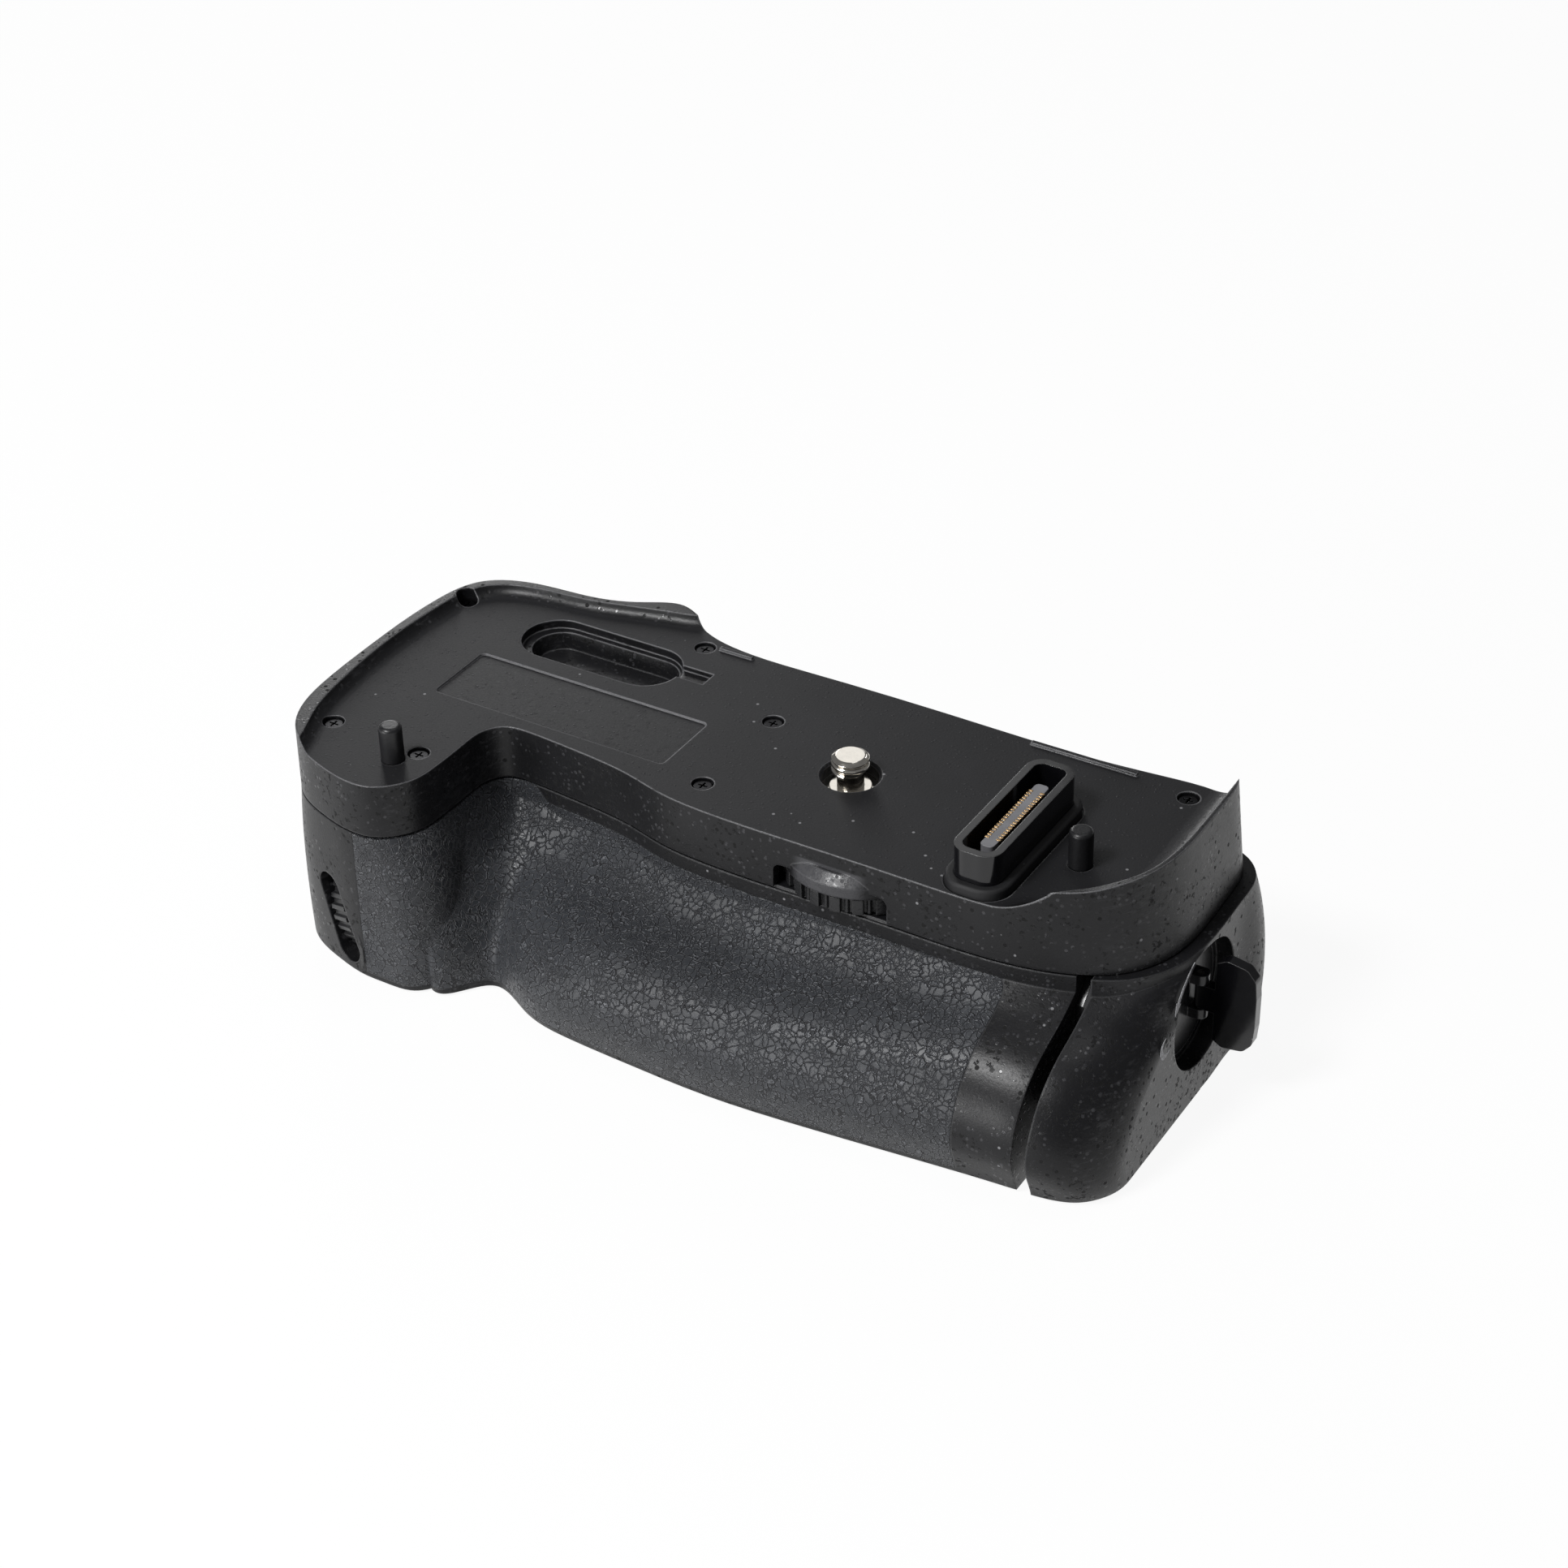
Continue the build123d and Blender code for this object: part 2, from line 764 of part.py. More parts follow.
def store_recess():
    middle = Pos(store_mid_x, store_mid_y, 0)
    upper = middle * slot_prism(store_length, store_width, -store_ledge_depth, overrun)
    inner = SlotOverall(store_length - store_ledge, store_width - store_ledge)
    lower = extrude(inner, -store_depth, taper=store_ramp)
    finger = block(store_right - store_ledge, store_right + store_tab, store_tab_front,
                   store_tab_rear, -store_tab_depth, overrun)
    return upper + middle * Pos(store_ledge / 2, 0, 0) * lower + finger


def make_top_shell():
    shell = upper_blank() - camera_seat() - above_crest()
    inside = outline(seam_inset(wall), -seam_drop)
    ceiling = outline(seam_inset(wall + side_rise), -plate_thickness)
    cavity = Solid.make_loft([inside, ceiling], ruled=True)
    cavity = cavity & block(left_reach, cap_plane - wall, -body_depth, body_depth,
                            -seam_drop, -plate_thickness)
    tub = Pos(store_mid_x, store_mid_y, 0) * slot_prism(
        store_length + wall, store_width + wall, -store_depth - wall / 2, -plate_thickness)
    cavity = cavity - tub
    for x, y in case_screw_places:
        cavity = cavity - post(x, y, boss_radius, -seam_drop, -plate_thickness)
    for x, y in locating_pin_places:
        cavity = cavity - post(x, y, boss_radius + wall / 2, -locating_pin_seat - wall / 2,
                               -plate_thickness)
    for x, y in bracket_posts:
        cavity = cavity - post(x, y, bracket_post_radius, bracket_top, -plate_thickness)
    shell = shell - cavity
    shell = shell - block(ear_left - fit_gap, ear_right + fit_gap, ear_front - fit_gap,
                          ear_rear + fit_gap, -seam_drop, ear_rise - seam_drop)
    shell = shell - block(keeper_left, keeper_right, latch_y - keeper_reach,
                          latch_y + bolt_width, -seam_drop, -seam_drop + keeper_depth + bolt_play)
    front_gap = block(slot_left, slot_right, -body_depth, wheel_y - slot_depth / 2,
                      -seam_drop, slot_top)
    ends = [e for e in along_edges(front_gap, (0, 1, 0)) if (e @ 0).Z > slot_top - same_place]
    shell = shell - fillet(ends, slot_corner)
    shell = shell + make_hood()
    shell = shell - store_recess()
    shell = shell - Pos((label_left + label_right) / 2, (label_front + label_rear) / 2, 0) * (
        Pos(0, 0, -label_depth) * extrude(RectangleRounded(
            label_right - label_left, label_rear - label_front, label_corner), overrun))
    for x, y in case_screw_places:
        shell = shell - post(x, y, counterbore_radius, -counterbore_depth, overrun)
        shell = shell - post(x, y, shank_radius + press_gap, -seam_drop, -counterbore_depth)
    for x, y in locating_pin_places:
        shell = shell - post(x, y, locating_pin_root + press_gap, -locating_pin_seat, overrun)
        shell = shell - post(x, y, locating_pin_radius + locating_pin_room, 0, overrun)
        shell = shell - Pos(x, y, -locating_pin_chamfer) * Cone(
            locating_pin_root, locating_pin_root + locating_pin_chamfer, locating_pin_chamfer,
            align=(Align.CENTER, Align.CENTER, Align.MIN))
    for x, y in bracket_posts:
        shell = shell - post(x, y, bracket_screw_radius + press_gap, bracket_top, -plate_thickness)
    shell = shell - post(0, 0, screw_hole_radius, -plate_thickness, overrun)
    shell = shell - Pos(0, 0, -screw_hole_chamfer) * Cone(
        screw_hole_radius, screw_hole_radius + screw_hole_chamfer, screw_hole_chamfer,
        align=(Align.CENTER, Align.CENTER, Align.MIN))
    shell = shell - shroud_form(press_gap, -plate_thickness - shroud_foot - seat_gap, overrun)
    shell = shell - seal_form(fit_gap, -seal_sink, overrun)
    for left, right in rear_rib_spans:
        shell = shell + block(left, right, rear_rib_y - rear_rib_width, rear_rib_y,
                              -plate_thickness / 2, rear_rib_height)
    axle_seat = post(wheel_x, wheel_y, wheel_axle_radius + wall / 2, axle_top - seat_gap,
                     -plate_thickness)
    shell = shell + (axle_seat - post(0, 0, flange_radius + fit_gap, -seam_drop, 0))
    shell = shell - post(wheel_x, wheel_y, wheel_axle_radius + press_gap, -seam_drop, axle_top)
    return shell


def make_hood():
    low = -hood_drop
    outside = post(wheel_x, wheel_y, hood_radius, low, hood_top)
    cut = Pos(wheel_x, wheel_y, hood_top - hood_slope) * Cone(
        hood_radius, hood_radius - hood_slope, hood_slope,
        align=(Align.CENTER, Align.CENTER, Align.MIN))
    band = outside & (post(wheel_x, wheel_y, hood_radius, low, hood_top - hood_slope) + cut)
    band = band - post(wheel_x, wheel_y, hood_radius - hood_wall, low - overrun, hood_top + overrun)
    front = block(left_reach, right_reach, -body_depth, wheel_y - hood_start, low, hood_top)
    return band & front


def shroud_form(extra, z0, z1):
    return Pos(shroud_x, shroud_y, z0) * extrude(RectangleRounded(
        shroud_width + 2 * extra, shroud_length + 2 * extra, shroud_corner + extra), z1 - z0)


def seal_form(extra, z0, z1):
    side = seal_width + 2 * extra
    corner = shroud_corner + (side - shroud_width) / 2
    return Pos(shroud_x, shroud_y, z0) * extrude(RectangleRounded(
        side, seal_length + 2 * extra, corner), z1 - z0)


# Lower shell and its rubber
def grip_window(clear):
    corners = [
        (rubber_left - clear, -seam_drop - groove_width + clear),
        (rubber_step_left + clear, -seam_drop - groove_width + clear),
        (rubber_step_right + clear, -seam_drop - strip_height + clear),
        (rubber_right + clear, -seam_drop - strip_height + clear),
        (rubber_right + clear, -base_drop + rubber_foot - clear),
        (rubber_left - clear, -base_drop + rubber_foot - clear),
    ]
    window = slab_y(corners, -body_depth - overrun, 0)
    corner = [e for e in along_edges(window, (0, 1, 0))
              if (e @ 0).X > rubber_right - rubber_corner and (e @ 0).Z > -base_drop / 2]
    return window.fillet(rubber_corner, corner)


def thumb_window(clear):
    width = thumb_right - thumb_left + clear + clear
    height = thumb_top - thumb_foot + clear + clear
    face = RectangleRounded(width, height, thumb_corner + clear)
    middle = Pos((thumb_left + thumb_right) / 2, body_depth / 3, (thumb_top + thumb_foot) / 2)
    return middle * Rot(-90, 0, 0) * extrude(face, body_depth)


def skirt_points(clear):
    return [
        (skirt_y - clear, -base_drop - overrun),
        (skirt_y - clear, skirt_top - skirt_slope),
        (skirt_y + skirt_step - clear, skirt_top - skirt_step + clear),
        (skirt_y + skirt_slope, skirt_top + clear),
        (body_depth, skirt_top + clear),
        (body_depth, -base_drop - overrun),
    ]


def make_lower_shell():
    low = -base_drop - overrun
    shell = outer_body - block(cap_plane, right_reach + overrun, -body_depth - overrun,
                               body_depth, low, 0)
    skirt = slab_x(skirt_points(0), cap_plane, skirt_end)
    shell = shell + (outer_body & skirt)
    band = outline(seam_inset(-groove_depth), -seam_drop - groove_width)
    band = Solid.make_loft([band, outline(seam_inset(-groove_depth), -seam_drop)], ruled=True)
    keep = outline(seam_inset(groove_depth), -seam_drop - groove_width)
    keep = Solid.make_loft([keep, outline(seam_inset(groove_depth), -seam_drop)], ruled=True)
    shell = shell - (band - keep)
    shell = shell - (grip_window(0) - inner_body)
    shell = shell - (thumb_window(0) - inner_body)
    shell = shell - slab_x(tray_polygon(0), chamber_step, cap_plane + overrun)
    shell = shell - slab_x(nose_polygon(0), chamber_end, chamber_step)
    ear = block(ear_left, ear_right, ear_front, ear_rear, -seam_drop, ear_rise - seam_drop - seat_gap)
    shell = shell + ear
    for x, y in case_screw_places:
        deep = -seam_drop - shank_reach
        shell = shell - post(x, y, shank_radius + press_gap, deep, 0)
    shell = shell - post(wheel_x, wheel_y, wheel_axle_radius + press_gap, axle_foot, 0)
    for x in (board_left + pad_radius_board, board_right - pad_radius_board):
        for y in (board_rear - pad_radius_board, pad_front):
            shell = shell + post(x, y, pad_radius_board, -seam_drop, board_level)
    shell = shell - post(0, tripod_y, tripod_bush_radius, -base_drop, tripod_top)
    shell = shell - post(0, tripod_y, tripod_flange_radius, low, -base_drop + tripod_flange)
    shell = shell + (front_dial_plane * make_surround() & block(
        left_reach - overrun, rubber_left - seat_gap, -body_depth, 0, -base_drop, -seam_drop))
    shell = shell - front_dial_plane * dial_room(front_dial_radius, front_dial_width,
                                                 front_dial_proud, front_slot_length,
                                                 front_slot_width)
    shell = shell - rear_dial_plane * dial_room(rear_dial_radius, rear_dial_width,
                                                rear_dial_proud, rear_slot_length,
                                                rear_dial_width + 2 * fit_gap)
    shell = shell - shutter_plane * shutter_room()
    shell = shell - function_plane * button_room(function_radius, function_proud, function_travel)
    shell = shell - focus_plane * button_room(focus_radius, focus_proud, focus_travel)
    shell = shell - pad_plane * pad_room()
    shell = shell - block(chamber_end - contact_block_depth, chamber_end, contact_front,
                          contact_rear, contact_foot, contact_top)
    return shell


def make_rubber_grip():
    return outer_body & grip_window(-seam_clear) - inner_body


def make_thumb_rubber():
    return outer_body & thumb_window(-seam_clear) - inner_body


# Tray: the cap closes the chamber, the frame behind it carries the battery pack
def make_tray_cap():
    low = -base_drop - overrun
    cap = outer_body & block(cap_plane + cap_gap, right_reach + overrun, -body_depth - overrun,
                             body_depth, low, -seam_drop - cap_gap)
    cap = cap - slab_x(skirt_points(cap_gap), cap_plane, right_reach + overrun)
    cap = cap - rod_x(latch_y, latch_z, dish_radius, dish_floor, right_reach + overrun)
    cap = cap - rod_x(latch_y, latch_z, barrel_radius + running_gap, barrel_floor,
                      right_reach + overrun)
    cap = cap - rod_x(latch_y, latch_z, barrel_shaft + running_gap, cap_plane + bolt_seat,
                      right_reach)
    arm_room = rod_x(latch_y, latch_z, arm_reach + bolt_play + fit_gap, arm_left - bolt_play,
                     arm_left + bolt_thickness + bolt_play)
    side = bolt_width / 2 + bolt_play
    arm_room = arm_room & block(cap_plane, right_reach, latch_y - arm_reach - overrun,
                                latch_y + side, latch_z - side, overrun)
    hub_room = rod_x(latch_y, latch_z, side + bolt_play, arm_left - bolt_play,
                     arm_left + bolt_thickness + bolt_play)
    return cap - arm_room - hub_room


def make_tray_frame():
    left = chamber_step + tray_gap
    frame = slab_x(tray_polygon(tray_gap), left, cap_plane + cap_gap)
    nose = slab_x(nose_polygon(tray_gap), tray_nose, left)
    cell = block(cell_right - cell_length - fit_gap, cell_right + fit_gap, -body_depth, body_depth,
                 cell_floor, cell_floor + cell_height + fit_gap)
    frame = frame - cell
    window = block(left + tray_rail, cell_right - tray_rail, chamber_front + tray_rail,
                   chamber_rear - tray_rail, cell_floor, 0)
    frame = frame - window
    hollow = slab_x(nose_polygon(tray_gap + tray_wall), tray_nose + tray_wall, left - tray_wall)
    nose = nose - (hollow & block(tray_nose, left, -body_depth, body_depth,
                                  -base_drop, chamber_top - tray_gap - tray_wall))
    for y in tray_contact_places():
        nose = nose - block(tray_nose - overrun, tray_nose + blade_thickness, y - blade_width,
                            y + blade_width, contact_foot + blade_width, contact_top - blade_width)
    return frame + nose


def tray_contact_places():
    pitch = (contact_rear - contact_front) / blade_count
    return [contact_front + pitch * (i + 1 / 2) for i in range(blade_count)]


def make_tray_seal():
    outside = slab_x(tray_polygon(tray_gap / 2), cap_plane - seal_thickness, cap_plane)
    return outside - slab_x(tray_polygon(tray_gap), cap_plane - overrun, cap_plane + overrun)


def make_battery_pack():
    face = RectangleRounded(cell_length, cell_width, cell_corner)
    pack = Pos(cell_right - cell_length / 2, cell_middle, cell_floor) * extrude(face, cell_height)
    return pack


# Latch: a barrel in the cap's dish with a fold-down wing, and a bolt behind
def make_latch_barrel():
    disc = rod_x(latch_y, latch_z, barrel_radius, barrel_floor, dish_floor)
    shaft = rod_x(latch_y, latch_z, barrel_shaft, arm_left + bolt_thickness, barrel_floor)
    square = block(arm_left, arm_left + bolt_thickness, latch_y - arm_square, latch_y + arm_square,
                   latch_z - arm_square, latch_z + arm_square)
    barrel = disc + shaft + square
    for side in (-1, 1):
        middle = latch_z + side * (wing_neck / 2 + running_gap + lug_width / 2)
        foot = block(dish_floor - lug_height / 4, hinge_x, hinge_y - lug_length / 2,
                     hinge_y + lug_length / 2, middle - lug_width / 2, middle + lug_width / 2)
        knuckle = post(hinge_x, hinge_y, lug_length / 2, middle - lug_width / 2,
                       middle + lug_width / 2)
        barrel = barrel + foot + knuckle
    bore = post(hinge_x, hinge_y, pin_radius + press_gap, latch_z - wing_neck - lug_width,
                latch_z + wing_neck + lug_width)
    return barrel - bore


def make_latch_wing():
    half = wing_height / 2
    points = [(hinge_x, wing_neck / 2)]
    for reach, rise in wing_shares:
        points.append((hinge_x + reach * wing_reach, rise * half))
    outer = [(hinge_x + wing_reach, wing_shares[-1][1] * half * wing_shares[2][0])]
    upper = points + outer
    lower = [(x, -z) for x, z in reversed(upper)]
    corners = [Vector(x, hinge_y - wing_thickness / 2, latch_z + z) for x, z in upper + lower]
    plate = Solid.extrude(Face(Wire.make_polygon(corners)), Vector(0, wing_thickness, 0))
    upright = [e for e in along_edges(plate, (0, 1, 0)) if (e @ 0).X > hinge_x + wing_reach / 3]
    plate = plate.fillet(wing_corner, upright)
    knuckle = post(hinge_x, hinge_y, wing_thickness / 2, latch_z - wing_neck / 2,
                   latch_z + wing_neck / 2)
    bore = post(hinge_x, hinge_y, pin_radius + running_gap, latch_z - wing_neck,
                latch_z + wing_neck)
    return plate + knuckle - bore


def make_latch_arm():
    arm = block(arm_left, arm_left + bolt_thickness, latch_y - arm_reach, latch_y + bolt_width / 2,
                latch_z - bolt_width / 2, latch_z + bolt_width / 2)
    arm = fillet(along_edges(arm, (1, 0, 0)), bolt_width / 4)
    side = arm_square + press_gap
    return arm - block(arm_left - fit_gap, arm_left + bolt_play + bolt_thickness, latch_y - side,
                       latch_y + side, latch_z - side, latch_z + side)


# Screw and the gear wheel that turns it
def involute(angle):
    return tan(angle) - angle


def gear(teeth, z0, z1, turn, bore):
    pitch = gear_module * teeth / 2
    base = pitch * cos(radians(pressure_angle))
    tip = pitch + gear_module
    root = pitch - gear_module - gear_module / 4
    half = tooth_share * pi / teeth
    flank = []
    for radius in (max(base, root), pitch, (pitch + tip) / 2, tip):
        lean = involute(radians(pressure_angle))
        lean -= involute(asin(sqrt(1 - (base / radius) ** 2)))
        flank.append((radius, half + lean))
    points = []
    for i in range(teeth):
        middle = radians(turn) + 2 * pi * i / teeth
        points.append((root, middle - flank[0][1]))
        for radius, angle in flank:
            points.append((radius, middle - angle))
        for radius, angle in reversed(flank):
            points.append((radius, middle + angle))
        points.append((root, middle + flank[0][1]))
    corners = [Vector(r * cos(a), r * sin(a), z0) for r, a in points]
    blank = Solid.extrude(Face(Wire.make_polygon(corners)), Vector(0, 0, z1 - z0))
    return blank - post(0, 0, bore, z0 - overrun, z1 + overrun)


def make_mount_screw():
    flange_low = -plate_thickness - running_gap - flange_height
    screw = post(0, 0, flange_radius, flange_low, -plate_thickness - running_gap)
    screw = screw + post(0, 0, collar_radius, -plate_thickness - running_gap, -collar_sink)
    screw = screw + post(0, 0, neck_radius, -collar_sink, neck_height)
    thread = post(0, 0, thread_radius, neck_height, screw_top - screw_nose)
    nose = Pos(0, 0, screw_top - screw_nose) * Cone(
        thread_radius, screw_tip_radius, screw_nose, align=(Align.CENTER, Align.CENTER, Align.MIN))
    pivot = post(0, 0, pivot_radius, bracket_bottom, flange_low)
    return screw + thread + nose + pivot


def make_screw_gear():
    low = -plate_thickness - running_gap - flange_height - gear_height
    turn = degrees(atan2(wheel_y, wheel_x))
    return gear(screw_teeth, low, low + gear_height, turn, pivot_radius + press_gap)


def make_attachment_wheel():
    wheel = post(0, 0, wheel_radius - wheel_rib_depth, wheel_bottom, wheel_top)
    tooth = block(0, wheel_radius, -wheel_tooth / 2, wheel_tooth / 2, wheel_bottom, wheel_top)
    rim = ring(wheel_radius, wheel_radius - wheel_rib_depth - wheel_rib_depth, wheel_bottom,
               wheel_top)
    tooth = tooth & rim
    rib = post(wheel_radius - wheel_rib_depth, 0, wheel_rib_depth / 2, wheel_bottom, wheel_top)
    ribs = [Rot(0, 0, wheel_step * i) * tooth for i in range(wheel_ribs)]
    ribs = ribs + [Rot(0, 0, wheel_step * (i + 1 / 2)) * rib for i in range(wheel_ribs)]
    wheel = wheel + ribs
    turn = degrees(atan2(wheel_y, wheel_x)) + half_turn + half_turn / wheel_teeth
    hub = gear(wheel_teeth, wheel_top, axle_top - fit_gap - fit_gap, turn,
               wheel_axle_radius + running_gap)
    wheel = wheel - post(0, 0, wheel_axle_radius + running_gap, -base_drop, 0)
    return Pos(wheel_x, wheel_y, 0) * (wheel + hub)


def make_screw_retainer():
    left = -bracket_reach - bracket_rim
    plate = block(left, pivot_radius + bracket_rim, -bracket_reach / 2, bracket_reach + bracket_rim,
                  bracket_bottom, bracket_top)
    plate = fillet(along_edges(plate, (0, 0, 1)), bracket_rim / 2)
    plate = plate - post(wheel_x, wheel_y, gear_module * (wheel_teeth / 2 + 1) + fit_gap,
                         bracket_bottom, bracket_top)
    plate = plate - post(0, 0, pivot_radius + running_gap, bracket_bottom, bracket_top)
    for x, y in bracket_posts:
        plate = plate - post(x, y, bracket_screw_radius + press_gap, bracket_bottom, bracket_top)
    return plate


def make_retainer_screws():
    screws = []
    for x, y in bracket_posts:
        head = post(x, y, bracket_head_radius, bracket_bottom - bracket_head_height, bracket_bottom)
        shank = post(x, y, bracket_screw_radius, bracket_bottom, -plate_thickness - fit_gap)
        screws.append(head + shank)
    return Compound(children=screws)


# Screws and pins of the case
def make_case_screws():
    screws = []
    for x, y in case_screw_places:
        top = -counterbore_depth + head_height
        foot = -seam_drop - shank_reach
        if x > ear_left:
            foot = -ear_screw_reach - counterbore_depth
        head = post(x, y, head_radius, -counterbore_depth, top)
        head = fillet(level_edges(head, top), head_height / 3)
        socket = Pos(x, y, top - head_height / 2) * (
            Box(head_radius, head_height / 3, head_height)
            + Box(head_height / 3, head_radius, head_height))
        screws.append(head - socket + post(x, y, shank_radius, foot, -counterbore_depth))
    return Compound(children=screws)


def make_locating_pins():
    pins = []
    for x, y in locating_pin_places:
        pin = post(x, y, locating_pin_radius, 0, locating_pin_height)
        pin = fillet(level_edges(pin, locating_pin_height), locating_pin_nose)
        pins.append(pin + post(x, y, locating_pin_root, -locating_pin_seat, 0))
    return Compound(children=pins)


# Camera connector
def make_connector_shroud():
    top = shroud_rise
    floor = -plate_thickness - shroud_foot
    shell = shroud_form(0, floor, top) - shroud_form(-shroud_wall, floor + shroud_wall, overrun)
    slot = block(shroud_x - tongue_width / 2 - press_gap, shroud_x + tongue_width / 2 + press_gap,
                 shroud_y - tongue_length / 2 - press_gap, shroud_y + tongue_length / 2 + press_gap,
                 floor - overrun, top)
    return shell - slot


def make_connector_seal():
    outside = seal_form(0, -seal_sink, seal_rise)
    outside = fillet(level_edges(outside, seal_rise), seal_rise / 3)
    return outside - shroud_form(press_gap, -overrun, overrun)


def make_connector_tongue():
    half = tongue_length / 2
    blade = block(shroud_x - tongue_width / 2, shroud_x + tongue_width / 2, shroud_y - half,
                  shroud_y + half, -plate_thickness - shroud_foot, tongue_rise)
    blade = fillet(along_edges(blade, (0, 0, 1)), tongue_width / 3)
    foot = block(shroud_x - tongue_width, shroud_x + tongue_width, shroud_y - half, shroud_y + half,
                 board_level + board_thickness, -plate_thickness - shroud_foot)
    return blade + foot


def make_connector_contacts():
    strips = []
    span = tongue_length - tongue_width - tongue_width
    low = contact_low
    for i in range(contact_count):
        y = shroud_y - span / 2 + span * i / (contact_count - 1)
        for side in (-1, 1):
            face = shroud_x + side * tongue_width / 2
            strips.append(block(min(face, face + side * contact_proud),
                                max(face, face + side * contact_proud),
                                y - contact_width / 2, y + contact_width / 2,
                                low, tongue_rise - tongue_width / 3))
    return Compound(children=strips)


# Dials
def toothed_disc(radius, width):
    points = []
    for i in range(dial_teeth):
        for turn_share, depth_share in dial_tooth_shares:
            angle = 2 * pi * (i + turn_share) / dial_teeth
            reach = radius - depth_share * dial_tooth_depth
            points.append(Vector(reach * cos(angle), reach * sin(angle), -width / 2))
    disc = Solid.extrude(Face(Wire.make_polygon(points)), Vector(0, 0, width))
    return disc - post(0, 0, dial_axle_radius + running_gap, -width, width)


def dial_seat(radius, proud):
    return Pos(0, 0, proud - radius) * Rot(0, 90, 0)


def dial_room(radius, width, proud, length, gap):
    room = dial_seat(radius, proud) * Cylinder(radius + dial_clear, width + 2 * fit_gap)
    room = room + slot_prism_along(length, gap, -radius / 2, overrun / 3)
    return room + dial_seat(radius, proud) * Cylinder(
        dial_axle_radius + press_gap, width + 2 * dial_cheek)


def slot_prism_along(length, width, z0, z1):
    return Rot(0, 0, 90) * slot_prism(length, width, z0, z1)


def dial_axle(radius, width, proud):
    return dial_seat(radius, proud) * Cylinder(dial_axle_radius, width + 2 * dial_cheek)


def make_surround():
    return slot_prism_along(front_slot_length + surround_rim, front_slot_width + surround_rim,
                            -front_dial_radius / 3, surround_rise)


# Buttons
def button_room(radius, proud, travel):
    deep = button_body + travel - proud
    room = post(0, 0, radius + fit_gap, -deep - fit_gap, overrun / 3)
    stem = post(0, 0, button_stem + fit_gap, -deep - button_stem_length, -deep)
    switch = Pos(0, 0, -deep - button_stem_length - switch_height / 2) * Box(
        switch_size + press_gap, switch_size + press_gap, switch_height)
    return room + stem + switch


def make_button(radius, proud, travel):
    cap = post(0, 0, radius, proud - button_body, proud)
    cap = fillet(level_edges(cap, proud), radius / 8)
    deep = button_body + travel - proud
    return cap + post(0, 0, button_stem, -deep - button_stem_length + travel, proud - button_body)


def make_switch(proud, travel):
    deep = button_body + travel - proud + button_stem_length
    return Pos(0, 0, -deep - switch_height / 2) * Box(switch_size, switch_size, switch_height)


def shutter_room():
    deep = button_body + shutter_travel - shutter_proud
    room = button_room(shutter_radius, shutter_proud, shutter_travel)
    room = room + post(0, 0, ring_radius + fit_gap, -ring_bed, overrun / 3)
    room = room + post(0, 0, ring_radius + ring_tab + fit_gap,
                       ring_proud - ring_tab_height - fit_gap, overrun / 3)
    return room + post(0, 0, collar_outer + press_gap, -ring_bed - collar_seat, overrun / 3)


def make_shutter_collar():
    return ring(collar_outer, shutter_radius + fit_gap, -ring_bed - collar_seat, collar_rise)


def make_lock_ring():
    band = ring(ring_radius, collar_outer + running_gap, seat_gap - ring_bed, ring_proud)
    tab = block(-ring_tab_width / 2, ring_tab_width / 2, collar_outer + fit_gap,
                ring_radius + ring_tab, ring_proud - ring_tab_height, ring_proud)
    ends = [e for e in along_edges(tab, (0, 0, 1)) if (e @ 0).Y > ring_radius]
    tab = fillet(ends, ring_tab_width / 4)
    return band + tab


# Four-way pad on the rear
def pad_room():
    room = post(0, 0, pad_radius + pad_rim, -pad_bed, overrun / 3)
    return room + post(0, 0, gimbal_radius + fit_gap + trunnion_seat, -pad_deep, 0)


def make_pad_bezel():
    flange = ring(pad_radius + pad_rim - press_gap, pad_radius + bezel_clear, -pad_bed,
                  bezel_rise)
    return flange


def make_gimbal_seat():
    seat = ring(gimbal_radius + fit_gap + trunnion_seat - press_gap, gimbal_radius + fit_gap,
                -pad_deep, -pad_bed)
    bore = Pos(0, 0, gimbal_level) * Rot(0, 90, 0) * Cylinder(
        trunnion_radius + running_gap, pad_radius * 2)
    return seat - bore


def make_gimbal():
    band = ring(gimbal_radius, gimbal_radius - gimbal_wall, gimbal_level - gimbal_width / 2,
                gimbal_level + gimbal_width / 2)
    outer = Pos(0, 0, gimbal_level) * Rot(0, 90, 0) * Cylinder(
        trunnion_radius, 2 * (gimbal_radius + fit_gap + trunnion_seat / 2))
    inner = Pos(0, 0, gimbal_level) * Rot(90, 0, 0) * Cylinder(
        trunnion_radius + running_gap, 2 * gimbal_radius + fit_gap)
    core_room = post(0, 0, gimbal_radius - gimbal_wall, gimbal_level - gimbal_width,
                     gimbal_level + gimbal_width)
    return band + (outer - core_room) - inner


def make_pad_stick():
    stick = post(0, 0, stick_radius, gimbal_level - gimbal_width / 2, pad_proud - pad_head / 2)
    pins = Pos(0, 0, gimbal_level) * Rot(90, 0, 0) * Cylinder(
        trunnion_radius, 2 * gimbal_radius - gimbal_wall / 2)
    return stick + pins


def make_pad_cap():
    cap = post(0, 0, pad_radius, pad_proud - pad_head, pad_proud)
    cap = fillet(level_edges(cap, pad_proud), pad_head / 4)
    bore = post(0, 0, stick_radius + running_gap, pad_proud - pad_head - overrun,
                pad_proud - pad_head / 2 + pad_travel + running_gap)
    return cap - bore


